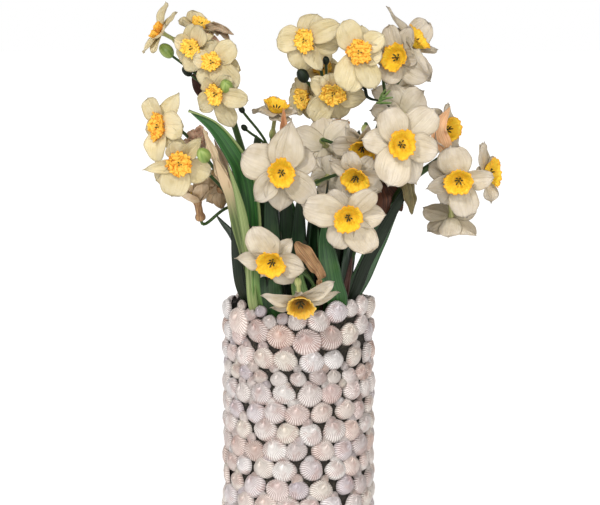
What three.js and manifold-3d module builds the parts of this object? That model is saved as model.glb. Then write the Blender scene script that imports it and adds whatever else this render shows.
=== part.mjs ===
// Narcissus plants in a tall round pot that is clad in small seashells.
// Millimetres, +Z up. The origin is the centre of the pot's underside and -Y is the front.

import * as THREE from 'three';
import { mergeVertices } from 'three/addons/utils/BufferGeometryUtils.js';
import Module from 'manifold-3d';

const wasm = await Module();
wasm.setup();

// Pot and its cladding
const potRadius = 50;
const potHeight = 200;
const potWall = 4;
const potFloor = 6;
const potSides = 36;
const seatGap = 0.3;
const claddingFoot = 1;
const claddingTop = 203;
const claddingRadius = 56;
const shellsPerRow = 19;

// Soil and bulbs
const soilEdgeLevel = 183;
const soilCrownLevel = 186;
const soilFlatShare = 0.6;
const bulbFoot = 144;
const bulbNeckLevel = 190;
const bulbNeckRadius = 12;
const bulbSides = 12;
// Radius and height above the foot, from the root plate up to the shoulder below the neck
const bulbSwell = [[7, 0], [14, 7], [17, 18], [15.5, 30], [bulbNeckRadius, 40]];
const bulbPlaces = {
  bulb_front_left: [-20, -18],
  bulb_front_right: [20, -18],
  bulb_back_left: [-20, 19],
  bulb_back_right: [20, 19],
};

// Flower stalks and the straight first stretch of all that rises from a bulb
const rootRise = 8;
const scapeRadius = 2.8;
const pedicelRadius = 1.3;
const umbelRadius = 3.6;
const scapeSides = 8;
const scapeSteps = 9;
const pedicelSides = 5;
const pedicelSteps = 4;
const pedicelArrival = 12;
const budLength = 1.3;

// A flower is described along its own axis, with zero at the plane of the petals.
const flowerKinds = {
  frilled: { cupRadius: 8.5, cupHeight: 5, tube: 11, ovary: 6, color: 0xefe6c4 },
  smooth: { cupRadius: 10, cupHeight: 11, tube: 14, ovary: 8, color: 0xeee6d6 },
  dried: { cupRadius: 4, cupHeight: 12, tube: 0, ovary: 0, foot: 2, color: 0xa5714a },
};
const petalThickness = 1.2;
const ovaryRadius = 2.6;
const tubeRadius = 1.7;
const cupWall = 1.3;
// The reach of a fully open flower, and the lean past which a flower is half closed
const openReach = 20;
const openLean = 6;
const flowerSides = 12;

// Each head: kind, centre of the petals, the way it faces (azimuth, with 0 the front and 90 the
// right, elevation, and turn of its first petal from upright), the petals' reach, and how far
// their tips lean forward.
const flowers = {
  flower_frilled_01: ['frilled', [-102, 0, 406], [-80, 20, 0], 21.5, 2],
  flower_frilled_02: ['frilled', [-77, -14, 396], [-45, -12, 0], 20, -1],
  flower_frilled_03: ['frilled', [-74, 16, 411], [30, 68, 0], 17, 1],
  flower_frilled_04: ['frilled', [-60, -14, 385], [-20, 10, -10], 19.5, 0],
  flower_frilled_05: ['frilled', [-59, -34, 363], [-15, -22, -15], 21, 0],
  flower_frilled_06: ['frilled', [-102, -14, 338], [-40, 3, 28], 24, 3],
  flower_frilled_07: ['frilled', [-86, -36, 313], [0, -15, -15], 22, 2],
  flower_frilled_08: ['frilled', [-74, -12, 283], [-30, 75, 0], 11, 14],
  flower_frilled_09: ['frilled', [-60, 14, 285], [-60, -30, 0], 14, 3],
  flower_frilled_10: ['frilled', [5, -12, 401], [-20, -8, -15], 24, 0],
  flower_frilled_11: ['frilled', [5, 10, 358], [-50, 0, 0], 17, 2],
  flower_frilled_12: ['frilled', [25, -14, 363], [0, -32, -15], 22, 0],
  flower_frilled_13: ['frilled', [43, -42, 392], [5, 6, 25], 23, 0],
  flower_frilled_14: ['frilled', [18, 25, 379], [-5, 25, 0], 15, 2],
  flower_dried: ['dried', [-68, 0, 322], [-40, 30, 0], 9, 15],
  flower_smooth_01: ['smooth', [-12, -60, 308], [0, -3, 0], 29, 2],
  flower_smooth_02: ['smooth', [72, -67, 328], [4, 2, -25], 29, 0],
  flower_smooth_03: ['smooth', [41, -36, 330], [-8, -52, 0], 21, 3],
  flower_smooth_04: ['smooth', [41, -52, 305], [-8, -22, 30], 21, 3],
  flower_smooth_05: ['smooth', [35, -82, 279], [-4, -10, 22], 28, 1],
  flower_smooth_06: ['smooth', [72, -32, 388], [-28, 6, -25], 25, 2],
  flower_smooth_07: ['smooth', [82, -6, 404], [72, 30, 0], 25, 2],
  flower_smooth_08: ['smooth', [78, 28, 353], [160, 15, 0], 24, -2],
  flower_smooth_09: ['smooth', [116, -38, 301], [-8, -14, -10], 26, 0],
  flower_smooth_10: ['smooth', [138, -12, 304], [62, 6, 0], 21, 1],
  flower_smooth_11: ['smooth', [113, -12, 271], [170, -48, 0], 22, 4],
  flower_smooth_12: ['smooth', [114, 6, 336], [58, 10, 0], 17, 2],
  flower_smooth_13: ['smooth', [-18, -72, 246], [-12, -14, -25], 24.5, 1],
  flower_smooth_14: ['smooth', [1, -91, 221], [6, -38, 0], 25, 0],
  flower_smooth_15: ['smooth', [-17, -8, 348], [20, 72, 0], 18, 2],
};

// Each flower stalk: its line from the bulb's neck to the head of the umbel, the flowers that it
// carries, and its plain side stalks, each with an end point and the radius of a bud or pod there.
const scapes = {
  scape_top_left: {
    line: [[-17, 13], [-29, 20, 250], [-38, 25, 300], [-50, 17, 343]],
    carries: ['flower_frilled_01', 'flower_frilled_02', 'flower_frilled_03', 'flower_frilled_04',
      'flower_frilled_05'],
    tips: [[[-97, 6, 386], 4.6], [[-44, -30, 378], 4.6]],
  },
  scape_left: {
    line: [[-27, 15], [-37, 14, 228], [-44, 8, 254], [-48, 2, 276]],
    carries: ['flower_frilled_06', 'flower_frilled_07', 'flower_frilled_08', 'flower_frilled_09',
      'flower_dried'],
    tips: [[[-68, -47, 319], 5]],
  },
  scape_centre_left: {
    line: [[-18, -11], [-19, -8, 240], [-21, -2, 285], [-21, 2, 317]],
    carries: ['flower_smooth_01', 'flower_smooth_15'],
    tips: [[[-42, -8, 350], 2.2], [[-40, -13, 337], 2.2]],
  },
  scape_top_centre: {
    line: [[13, 14], [16, 18, 240], [19, 18, 300], [22, 15, 343]],
    carries: ['flower_frilled_10', 'flower_frilled_11', 'flower_frilled_12', 'flower_frilled_13',
      'flower_frilled_14'],
    tips: [],
  },
  scape_top_right: {
    line: [[20, 22], [36, 24, 250], [52, 18, 310], [65, 10, 351]],
    carries: ['flower_smooth_06', 'flower_smooth_07', 'flower_smooth_08'],
    tips: [],
  },
  scape_right_centre: {
    line: [[24, -11], [36, -6, 230], [47, -2, 266], [56, 0, 297]],
    carries: ['flower_smooth_02', 'flower_smooth_03', 'flower_smooth_04', 'flower_smooth_05'],
    tips: [],
  },
  scape_right: {
    line: [[28, 15], [52, 16, 238], [86, 12, 286], [110, 6, 316]],
    carries: ['flower_smooth_09', 'flower_smooth_10', 'flower_smooth_11', 'flower_smooth_12'],
    tips: [],
  },
  scape_low: {
    line: [[12, -24], [13, -38, 213], [12, -46, 222]],
    carries: ['flower_smooth_13', 'flower_smooth_14'],
    tips: [],
  },
};

// Each leaf: its line from the bulb's neck, its full width, and the azimuth its face has at the
// foot and at the tip.
const leaves = {
  leaf_big_left: {
    line: [[-28, -17], [-36, -24, 248], [-38, -30, 282], [-43, -32, 309], [-53, -34, 327],
      [-65, -36, 341], [-80, -38, 351]],
    width: 20, face: [-10, 15],
  },
  leaf_front_left: {
    line: [[-24, -26], [-38, -33, 244], [-46, -40, 279], [-53, -42, 300], [-60, -42, 316]],
    width: 10, face: [-20, -30],
  },
  leaf_outer_left: {
    line: [[-28, 23], [-42, 28, 235], [-52, 26, 256], [-62, 22, 268]],
    width: 12, face: [-60, -60],
  },
  leaf_centre_left: {
    line: [[-13, -24], [-18, -18, 230], [-22, -14, 256], [-25, -12, 278]],
    width: 12, face: [0, 10],
  },
  leaf_centre: {
    line: [[14, -14], [3, -16, 225], [0, -12, 243], [-3, -8, 263], [-6, -5, 283]],
    width: 12, face: [10, 0],
  },
  leaf_centre_right: {
    line: [[23, -26], [24, -36, 224], [20, -36, 244], [18, -33, 262], [18, -28, 282]],
    width: 11, face: [10, -10],
  },
  leaf_right: {
    line: [[30, -18], [47, -12, 228], [57, -8, 250], [68, -6, 271], [80, -6, 288], [92, -8, 302]],
    width: 15, face: [30, 20],
  },
  leaf_back_right: {
    line: [[17, 28], [28, 36, 225], [36, 46, 263], [41, 52, 301], [47, 55, 332]],
    width: 17, face: [170, 160],
  },
  leaf_back_left: {
    line: [[-16, 27], [-18, 33, 225], [-25, 43, 263], [-29, 50, 301], [-33, 55, 328]],
    width: 17, face: [190, 200],
  },
};

// Each papery or withered sheath: the stalk whose umbel it springs from, the rest of its line, and
// its width and face, as for a leaf.
const sheaths = {
  sheath_peach: {
    on: 'scape_right', line: [[106, -8, 325], [110, -15, 339], [115, -18, 353]],
    width: 15, face: [-10, 10],
  },
  sheath_orange: {
    on: 'scape_centre_left', line: [[-13, -5, 325], [-11, -24, 339], [-11, -31, 352]],
    width: 6, face: [0, 10],
  },
  sheath_tan: {
    on: 'scape_left', line: [[-42, -3, 287], [-52, -16, 306], [-62, -18, 329]],
    width: 10, face: [-20, -40],
  },
  sheath_dark_red: {
    on: 'scape_top_left', line: [[-57, 25, 346], [-68, 27, 353], [-79, 25, 364]],
    width: 12, face: [-10, -30],
  },
  sheath_red_brown: {
    on: 'scape_right_centre', line: [[60, -8, 290], [62, -15, 281], [60, -17, 268]],
    width: 13, face: [15, 5],
  },
  sheath_curled: {
    on: 'scape_low', line: [[17, -48, 229], [12, -54, 242], [4, -57, 255]],
    width: 10, face: [20, -10],
  },
};
const leafThickness = 3;
const leafFootWidth = 9;
const leafSteps = 10;
const sheathThickness = 1.4;
const sheathFootShare = 0.6;
const sheathSteps = 4;

const group = new THREE.Group();

// Triangles that have shrunk to a line on the axis are left out of the solid.
function toSolid(geometry) {
  const bare = geometry.clone();
  bare.deleteAttribute('normal');
  bare.deleteAttribute('uv');
  const merged = mergeVertices(bare, 1e-3);
  const corners = merged.index.array;
  const whole = [];
  for (let i = 0; i < corners.length; i += 3) {
    const [a, b, c] = [corners[i], corners[i + 1], corners[i + 2]];
    if (a !== b && b !== c && c !== a) whole.push(a, b, c);
  }
  return new wasm.Manifold(new wasm.Mesh({
    numProp: 3,
    vertProperties: new Float32Array(merged.attributes.position.array),
    triVerts: new Uint32Array(whole),
  }));
}

function toGeometry(solid) {
  const mesh = solid.getMesh();
  const geometry = new THREE.BufferGeometry();
  geometry.setAttribute('position', new THREE.BufferAttribute(mesh.vertProperties, 3));
  geometry.setIndex(new THREE.BufferAttribute(mesh.triVerts, 1));
  return geometry;
}

function addPart(name, geometry, color, roughness = 0.6) {
  const mesh = new THREE.Mesh(geometry, new THREE.MeshStandardMaterial({ color, roughness, metalness: 0 }));
  mesh.name = name;
  group.add(mesh);
  return mesh;
}

// A lathed form has its axis along +Z.
function lathe(profile, sides) {
  const points = profile.map(([radius, height]) => new THREE.Vector2(radius, height));
  return new THREE.LatheGeometry(points, sides).rotateX(Math.PI / 2);
}

function facingVector([azimuth, elevation]) {
  const a = THREE.MathUtils.degToRad(azimuth);
  const e = THREE.MathUtils.degToRad(elevation);
  return new THREE.Vector3(Math.cos(e) * Math.sin(a), -Math.cos(e) * Math.cos(a), Math.sin(e));
}

// A line whose first point has no height of its own rises straight from a bulb's neck.
function linePoints(line) {
  const points = line.map(([x, y, z = bulbNeckLevel + seatGap]) => new THREE.Vector3(x, y, z));
  if (line[0].length === 2) points.splice(1, 0, points[0].clone().add(new THREE.Vector3(0, 0, rootRise)));
  return points;
}

function addPot() {
  const inner = potRadius - potWall;
  const profile = [[0, 0], [potRadius, 0], [potRadius, potHeight], [inner, potHeight],
    [inner, potFloor], [0, potFloor]];
  addPart('pot', lathe(profile, potSides), 0x5a5448, 0.8);
}

// The sleeve of shells and mortar, out to halfway up the shells' backs, has two sides for each
// shell in a row.
function addCladding() {
  const inner = (potRadius + seatGap) / Math.cos(Math.PI / (2 * shellsPerRow));
  const profile = [[inner, claddingFoot], [claddingRadius, claddingFoot], [claddingRadius, claddingTop],
    [inner, claddingTop], [inner, claddingFoot]];
  addPart('shell_cladding', lathe(profile, 2 * shellsPerRow), 0xcabfb9, 0.7);
}

// A bulb's outline, grown outwards by a gap for the hole that it sits in.
function bulbProfile(grow) {
  const swell = bulbSwell.map(([radius, height]) => [radius + grow, bulbFoot + height]);
  swell[0][1] -= grow;
  return [[0, bulbFoot - grow], ...swell, [bulbNeckRadius + grow, bulbNeckLevel + grow],
    [0, bulbNeckLevel + grow]];
}

function addBulbsAndSoil() {
  const inner = (potRadius - potWall) * Math.cos(Math.PI / potSides) - seatGap;
  const soilProfile = [[0, potFloor + seatGap], [inner, potFloor + seatGap], [inner, soilEdgeLevel],
    [inner * soilFlatShare, soilCrownLevel - 0.5], [0, soilCrownLevel]];
  let soil = toSolid(lathe(soilProfile, potSides));
  for (const [name, [x, y]] of Object.entries(bulbPlaces)) {
    addPart(name, lathe(bulbProfile(0), bulbSides).translate(x, y, 0), 0x8a6a42, 0.7);
    soil = soil.subtract(toSolid(lathe(bulbProfile(seatGap), bulbSides).translate(x, y, 0)));
  }
  addPart('potting_soil', toGeometry(soil), 0x2c2118, 0.95);
}

function flowerLength(name) {
  const kind = flowerKinds[flowers[name][0]];
  return kind.tube + kind.ovary;
}

// Ovary, tube, six petals and cup in one turned form, whose rim is drawn out at the petals. The cup
// of a small or half-closed flower is narrower.
function flowerGeometry(kind, reach, lean) {
  const shape = flowerKinds[kind];
  const cup = shape.cupRadius * Math.min(1, reach / openReach, openLean / Math.max(1, lean));
  const length = shape.tube + shape.ovary;
  const half = petalThickness / 2;
  const profile = [[0, -length], [ovaryRadius, -length + 0.8], [ovaryRadius, -shape.tube],
    [tubeRadius, -2.5], [reach * 0.55, lean * 0.4 - half], [reach, lean], [reach * 0.55, lean * 0.4 + half],
    [cup * 0.85, half + 0.6], [cup, shape.cupHeight], [cup - cupWall, shape.cupHeight],
    [cup * 0.55, half + 1.6], [0, half + 1.2]];
  const geometry = lathe(profile, flowerSides);
  const position = geometry.attributes.position;
  for (let i = 0; i < position.count; i += 1) {
    const x = position.getX(i);
    const y = position.getY(i);
    const radius = Math.hypot(x, y);
    if (radius < reach * 0.54) continue;
    const tip = 0.5 - 0.5 * Math.cos(6 * Math.atan2(y, x));
    const scale = radius > reach * 0.9 ? 0.66 + 0.34 * tip : 0.92 + 0.08 * tip;
    position.setX(i, x * scale);
    position.setY(i, y * scale);
  }
  return geometry;
}

// Local +Z becomes the way the flower faces, and local +Y its upright, turned by the roll.
function facingTurn(facing) {
  const forward = facingVector(facing);
  const side = new THREE.Vector3(0, 0, 1).cross(forward).normalize();
  const up = new THREE.Vector3().crossVectors(forward, side);
  const turn = new THREE.Matrix4().makeBasis(side, up, forward);
  return turn.multiply(new THREE.Matrix4().makeRotationZ(-THREE.MathUtils.degToRad(facing[2])));
}

// A dried head is a shrunken funnel, and its centre is its foot.
function driedGeometry(reach, length) {
  const { cupRadius, cupHeight, foot } = flowerKinds.dried;
  const profile = [[0, 0], [foot, 0.5], [foot + 0.4, length * 0.4], [reach, length],
    [cupRadius, cupHeight], [0, length * 0.6]];
  return lathe(profile, flowerSides);
}

function addFlowers() {
  for (const [name, [kind, centre, facing, reach, lean]] of Object.entries(flowers)) {
    const geometry = kind === 'dried' ? driedGeometry(reach, lean) : flowerGeometry(kind, reach, lean);
    const mesh = addPart(name, geometry, flowerKinds[kind].color);
    mesh.quaternion.setFromRotationMatrix(facingTurn(facing));
    mesh.position.set(...centre);
  }
}

function tube(curve, radius, sides, steps) {
  const outline = [];
  for (let i = 0; i < sides; i += 1) {
    const angle = (2 * Math.PI * i) / sides;
    outline.push(new THREE.Vector2(radius * Math.cos(angle), radius * Math.sin(angle)));
  }
  const shape = new THREE.Shape(outline);
  return new THREE.ExtrudeGeometry(shape, { extrudePath: curve, steps, bevelEnabled: false });
}

// A side stalk leaves the umbel upwards and comes to its flower from behind, along its axis.
function pedicelCurve(umbel, end, arriving) {
  const reach = umbel.distanceTo(end) * 0.4;
  const rise = end.clone().sub(umbel).normalize().multiplyScalar(0.5).add(new THREE.Vector3(0, 0, 0.5));
  const leave = umbel.clone().addScaledVector(rise.normalize(), reach);
  const arrive = end.clone().addScaledVector(arriving, -Math.min(reach, pedicelArrival));
  return new THREE.CubicBezierCurve3(umbel, leave, arrive, end);
}

function addScapes() {
  for (const [name, { line, carries, tips }] of Object.entries(scapes)) {
    const points = linePoints(line);
    const umbel = points[points.length - 1];
    let solid = toSolid(tube(new THREE.CatmullRomCurve3(points), scapeRadius, scapeSides, scapeSteps));
    const head = new THREE.SphereGeometry(umbelRadius, scapeSides, 4).rotateX(Math.PI / 2);
    solid = solid.add(toSolid(head.translate(umbel.x, umbel.y, umbel.z)));
    for (const flower of carries) {
      const facing = facingVector(flowers[flower][2]);
      const end = new THREE.Vector3(...flowers[flower][1]);
      end.addScaledVector(facing, -flowerLength(flower) - seatGap);
      const curve = pedicelCurve(umbel, end, facing);
      solid = solid.add(toSolid(tube(curve, pedicelRadius, pedicelSides, pedicelSteps)));
    }
    for (const [tip, radius] of tips) {
      const end = new THREE.Vector3(...tip);
      const along = end.clone().sub(umbel).normalize();
      const curve = pedicelCurve(umbel, end, along);
      const bud = new THREE.SphereGeometry(radius, scapeSides, 5);
      bud.scale(1, budLength, 1);
      bud.applyQuaternion(new THREE.Quaternion().setFromUnitVectors(new THREE.Vector3(0, 1, 0), along));
      solid = solid.add(toSolid(tube(curve, pedicelRadius, pedicelSides, pedicelSteps)));
      solid = solid.add(toSolid(bud.translate(...tip)));
    }
    addPart(name, toGeometry(solid), 0x4c6a3a);
  }
}

// A blade follows its line: it widens from the foot, then narrows to a blunt tip.
function bladeGeometry(points, width, thickness, face, steps, footWidth) {
  const curve = new THREE.CatmullRomCurve3(points);
  const section = new THREE.Shape([new THREE.Vector2(-0.5, 0), new THREE.Vector2(-0.22, -0.5),
    new THREE.Vector2(0.22, -0.5), new THREE.Vector2(0.5, 0), new THREE.Vector2(0, 0.45)]);
  const geometry = new THREE.ExtrudeGeometry(section, { depth: 1, steps, bevelEnabled: false });
  const position = geometry.attributes.position;
  const vertex = new THREE.Vector3();
  for (let i = 0; i < position.count; i += 1) {
    const t = position.getZ(i);
    const tangent = curve.getTangent(t);
    const front = facingVector([THREE.MathUtils.lerp(face[0], face[1], t), 0]);
    const across = new THREE.Vector3().crossVectors(front, tangent).normalize();
    const normal = new THREE.Vector3().crossVectors(tangent, across).normalize();
    const grow = THREE.MathUtils.smoothstep(t, 0, 0.35);
    const taper = Math.sqrt(Math.max(0.02, 1 - Math.max(0, (t - 0.45) / 0.55) ** 2.2));
    const wide = THREE.MathUtils.lerp(footWidth, width, grow) * taper;
    vertex.copy(curve.getPoint(t));
    vertex.addScaledVector(across, position.getX(i) * wide);
    vertex.addScaledVector(normal, position.getY(i) * thickness * (1 - 0.4 * t));
    position.setXYZ(i, vertex.x, vertex.y, vertex.z);
  }
  return geometry;
}

function addBlades() {
  for (const [name, { line, width, face }] of Object.entries(leaves)) {
    const geometry = bladeGeometry(linePoints(line), width, leafThickness, face, leafSteps, leafFootWidth);
    addPart(name, geometry, 0x3a6238, 0.45);
  }
  for (const [name, { on, line, width, face }] of Object.entries(sheaths)) {
    const umbel = new THREE.Vector3(...scapes[on].line.at(-1));
    const points = linePoints(line);
    const away = points[0].clone().sub(umbel).normalize();
    points.unshift(umbel.addScaledVector(away, umbelRadius + seatGap));
    const footWidth = width * sheathFootShare;
    const geometry = bladeGeometry(points, width, sheathThickness, face, sheathSteps, footWidth);
    addPart(name, geometry, 0xa98256, 0.8);
  }
}

addPot();
addCladding();
addBulbsAndSoil();
addScapes();
addBlades();
addFlowers();

export default group;
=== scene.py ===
import math
import random

import bmesh
import bpy
from mathutils import Matrix, Vector, noise
from mathutils.geometry import interpolate_bezier


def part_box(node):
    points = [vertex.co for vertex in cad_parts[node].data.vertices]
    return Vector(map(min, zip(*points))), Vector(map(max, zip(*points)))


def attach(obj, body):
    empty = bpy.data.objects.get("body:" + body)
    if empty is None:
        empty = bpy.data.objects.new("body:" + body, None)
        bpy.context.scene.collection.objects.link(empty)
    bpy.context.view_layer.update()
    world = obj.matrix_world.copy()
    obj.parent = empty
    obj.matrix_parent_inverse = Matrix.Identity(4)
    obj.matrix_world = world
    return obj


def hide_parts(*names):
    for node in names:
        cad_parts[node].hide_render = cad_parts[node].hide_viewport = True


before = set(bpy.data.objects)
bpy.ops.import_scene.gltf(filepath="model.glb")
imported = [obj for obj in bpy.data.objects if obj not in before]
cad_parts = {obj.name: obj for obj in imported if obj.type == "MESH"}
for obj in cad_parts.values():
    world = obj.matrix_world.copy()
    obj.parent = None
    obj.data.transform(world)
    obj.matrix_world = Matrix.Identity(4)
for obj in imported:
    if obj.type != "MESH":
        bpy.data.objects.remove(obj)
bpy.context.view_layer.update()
scene = bpy.context.scene

# Everything is worked out in millimetres, and finishPiece brings it to metres.
mm = 0.001
front = -90          # the angle that faces the camera on a shape turned round the pot's axis
noise.seed_set(7)    # without a seed noise_vector gives other values each time the file is run


# Colours and nodes

def srgb(code):      # "#rrggbb" as the linear colour that Blender's sockets take
    channels = [int(code[i:i + 2], 16) / 255 for i in (1, 3, 5)]
    return [c / 12.92 if c <= 0.04045 else ((c + 0.055) / 1.055) ** 2.4 for c in channels] + [1]


# Adds a node. Settings are the node's own, stops are a colour ramp's, and an input is a value or a link.
def addNode(tree, kind, settings=(), inputs=(), stops=()):
    node = tree.nodes.new(kind)
    for name, value in dict(settings).items():
        setattr(node, name, value)
    for name, value in dict(inputs).items():
        if isinstance(value, bpy.types.NodeSocket):
            tree.links.new(value, node.inputs[name])
        else:
            node.inputs[name].default_value = value
    for i, (place, colour) in enumerate(stops):
        stop = node.color_ramp.elements[i] if i < 2 else node.color_ramp.elements.new(place)
        stop.position = place
        stop.color = srgb(colour)
    return node


def newMaterial(name):
    material = bpy.data.materials.new(name)
    material.use_nodes = True
    material.node_tree.nodes.clear()
    return material, material.node_tree


# Ends a material: the shader with its colour, finish, and the height in millimetres of its bumps.
def finishMaterial(tree, colour, height, bump, finish):
    shader = addNode(tree, "ShaderNodeBsdfPrincipled", (), {"Base Color": colour, **finish})
    if height:
        relief = addNode(tree, "ShaderNodeBump", (),
                         {"Height": height, "Distance": bump * mm, "Strength": 1.0})
        tree.links.new(relief.outputs["Normal"], shader.inputs["Normal"])
    output = addNode(tree, "ShaderNodeOutputMaterial")
    tree.links.new(shader.outputs[0], output.inputs[0])


# One layer of colour over what is below it: the stops turn a pattern into the layer's share.
def addLayer(tree, below, pattern, stops, colour):
    share = addNode(tree, "ShaderNodeValToRGB", (), {0: pattern}, stops)
    layer = addNode(tree, "ShaderNodeMix", {"data_type": "RGBA"}, {0: share.outputs[0], 6: below, 7: colour})
    return layer.outputs[2]


noShare = "#000000"          # where a layer isn't laid

# Petal tissue: a thin living skin full of water, so it is matt, glows a little where light comes
# through, and shows fine veins that run from its foot to its tip. Its 24 veins lie about a
# millimetre apart, and the other sizes are in millimetres.
petalSkin = {"veins": 24, "cloud": 11, "crinkle": 2.6, "relief": 0.8, "glowDepth": 1.2, "dimmest": 0.8}


def petalTissue(name, look):
    material, tree = newMaterial(name)
    uv = addNode(tree, "ShaderNodeTexCoord").outputs["UV"]
    at = addNode(tree, "ShaderNodeSeparateXYZ", (), {0: uv}).outputs
    tone = addNode(tree, "ShaderNodeAttribute", {"attribute_name": "tone"}).outputs["Fac"]
    where = addNode(tree, "ShaderNodeTexCoord").outputs["Object"]
    lines = addNode(tree, "ShaderNodeMapping", (), {0: uv, "Scale": (petalSkin["veins"], 1.1, 1)})
    veins = addNode(tree, "ShaderNodeTexNoise", {"noise_dimensions": "4D"},
                    {"Vector": lines.outputs[0], "W": tone, "Scale": 1.0, "Detail": 3.0, "Roughness": 0.6})
    clouds = addNode(tree, "ShaderNodeTexNoise", (),
                     {"Vector": where, "Scale": 1 / (petalSkin["cloud"] * mm), "Detail": 2.0})
    crinkle = addNode(tree, "ShaderNodeTexNoise", (),
                      {"Vector": where, "Scale": 1 / (petalSkin["crinkle"] * mm), "Detail": 2.0})
    body = addNode(tree, "ShaderNodeValToRGB", (), {0: clouds.outputs["Fac"]},
                   [(0.36, look["shade"]), (0.58, look["body"])])
    veined = addLayer(tree, body.outputs[0], veins.outputs["Fac"],
                      [(0.46, noShare), (0.7, look["veinShare"])], srgb(look["vein"]))
    # The flush is strongest round the cup: partly the petals' own yellow-green, partly painted shade round
    # the cup.
    flushedAndShaded = addLayer(tree, veined, at["Y"],
                       [(0.16, look["flushAndShadeShare"]), (0.75, noShare)], srgb(look["flushAndShade"]))
    # The rim is a thin brown line: partly an ageing petal's dried margin, partly painted shadow outlining the
    # petal.
    side = addNode(tree, "ShaderNodeMath", {"operation": "MULTIPLY_ADD"}, {0: at["X"], 1: 2.0, 2: -1.0})
    edge = addNode(tree, "ShaderNodeMath", {"operation": "ABSOLUTE"}, {0: side.outputs[0]})
    rim = addNode(tree, "ShaderNodeMath", {"operation": "MAXIMUM"}, {0: edge.outputs[0], 1: at["Y"]})
    driedAndShadedRim = addLayer(tree, flushedAndShaded, rim.outputs[0],
                      [(0.88, noShare), (0.99, look["rimShare"])], srgb(look["rim"]))
    # No two petals are equally bright.
    dim = addNode(tree, "ShaderNodeMapRange", (), {0: tone, 3: petalSkin["dimmest"], 4: 1.0})
    toned = addNode(tree, "ShaderNodeMix", {"data_type": "RGBA", "blend_type": "MULTIPLY"},
                    {0: 1.0, 6: driedAndShadedRim, 7: dim.outputs[0]})
    relief = addNode(tree, "ShaderNodeMath", {"operation": "MULTIPLY_ADD"},
                     {0: crinkle.outputs["Fac"], 1: 0.5, 2: veins.outputs["Fac"]})
    finishMaterial(tree, toned.outputs[2], relief.outputs[0], petalSkin["relief"],
                   {"Roughness": 0.6, "IOR": 1.4, "Specular IOR Level": 0.3, "Subsurface Weight": 0.3,
                    "Subsurface Scale": petalSkin["glowDepth"] * mm, "Subsurface Radius": (1.0, 0.9, 0.65)})
    return material


# Cup tissue: thicker than a petal and pleated or crumpled. Tone says how deep in a fold a place is; the depth
# ramp darkens deep folds and a cup's floor, partly the throat's own orange and partly painted shade.
cupSkin = {"pleats": 44, "cloud": 2.4, "relief": 0.5, "glowDepth": 0.8}


def cupTissue(name, look):
    material, tree = newMaterial(name)
    uv = addNode(tree, "ShaderNodeTexCoord").outputs["UV"]
    tone = addNode(tree, "ShaderNodeAttribute", {"attribute_name": "tone"}).outputs["Fac"]
    where = addNode(tree, "ShaderNodeTexCoord").outputs["Object"]
    lines = addNode(tree, "ShaderNodeMapping", (), {0: uv, "Scale": (cupSkin["pleats"], 2.0, 1)})
    pleats = addNode(tree, "ShaderNodeTexNoise", (),
                     {"Vector": lines.outputs[0], "Scale": 1.0, "Detail": 2.0})
    clouds = addNode(tree, "ShaderNodeTexNoise", (),
                     {"Vector": where, "Scale": 1 / (cupSkin["cloud"] * mm), "Detail": 3.0})
    depth = addNode(tree, "ShaderNodeValToRGB", (), {0: tone}, look["depth"])
    folded = addLayer(tree, depth.outputs[0], pleats.outputs["Fac"],
                      [(0.48, noShare), (0.75, look["foldShare"])], srgb(look["fold"]))
    glowing = addLayer(tree, folded, clouds.outputs["Fac"],
                       [(0.46, noShare), (0.7, look["glowShare"])], srgb(look["glow"]))
    relief = addNode(tree, "ShaderNodeMath", {"operation": "ADD"},
                     {0: pleats.outputs["Fac"], 1: clouds.outputs["Fac"]})
    finishMaterial(tree, glowing, relief.outputs[0], cupSkin["relief"],
                   {"Roughness": 0.5, "IOR": 1.4, "Specular IOR Level": 0.3, "Subsurface Weight": 0.15,
                    "Subsurface Scale": cupSkin["glowDepth"] * mm})
    return material


# Green tissue: a smooth waxy skin with parallel veins about a millimetre apart, paler towards its
# foot and withered at its tip. A rolled margin shows its pale underside.
greenSkin = {"veins": 14, "cloud": 14, "relief": 0.3, "wornShare": "#707070", "footShare": "#707070",
             "tipShare": "#a0a0a0", "tipFrom": 0.93, "tipFull": 1.0, "margin": "#b9c49a",
             "marginShare": noShare, "roughness": 0.42, "wax": 0.2}


def greenTissue(name, own):
    look = {**greenSkin, **own}
    material, tree = newMaterial(name)
    uv = addNode(tree, "ShaderNodeTexCoord").outputs["UV"]
    at = addNode(tree, "ShaderNodeSeparateXYZ", (), {0: uv}).outputs
    where = addNode(tree, "ShaderNodeTexCoord").outputs["Object"]
    lines = addNode(tree, "ShaderNodeMapping", (), {0: uv, "Scale": (look["veins"], 0.8, 1)})
    veins = addNode(tree, "ShaderNodeTexNoise", (), {"Vector": lines.outputs[0], "Scale": 1.0, "Detail": 2.0})
    clouds = addNode(tree, "ShaderNodeTexNoise", (),
                     {"Vector": where, "Scale": 1 / (look["cloud"] * mm), "Detail": 3.0})
    body = addNode(tree, "ShaderNodeValToRGB", (), {0: veins.outputs["Fac"]},
                   [(0.35, look["dark"]), (0.68, look["light"])])
    mottled = addLayer(tree, body.outputs[0], clouds.outputs["Fac"],
                       [(0.55, noShare), (0.75, look["wornShare"])], srgb(look["worn"]))
    ended = addLayer(tree, mottled, at["Y"],
                     [(0.02, look["footShare"]), (0.3, noShare), (look["tipFrom"], noShare),
                      (look["tipFull"], look["tipShare"])], srgb(look["end"]))
    margined = addLayer(tree, ended, at["X"],
                        [(0.08, look["marginShare"]), (0.2, noShare)], srgb(look["margin"]))
    finishMaterial(tree, margined, veins.outputs["Fac"], look["relief"],
                   {"Roughness": look["roughness"], "IOR": 1.45, "Specular IOR Level": 0.3,
                    "Coat Weight": look["wax"], "Coat Roughness": 0.4})
    return material


# Dry spathe: the papery sheath that held the buds, dead and crumpled, brown with darker veins.
drySkin = {"veins": 16, "cloud": 6, "relief": 0.4, "glowDepth": 0.6, "patchShare": "#808080"}


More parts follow.
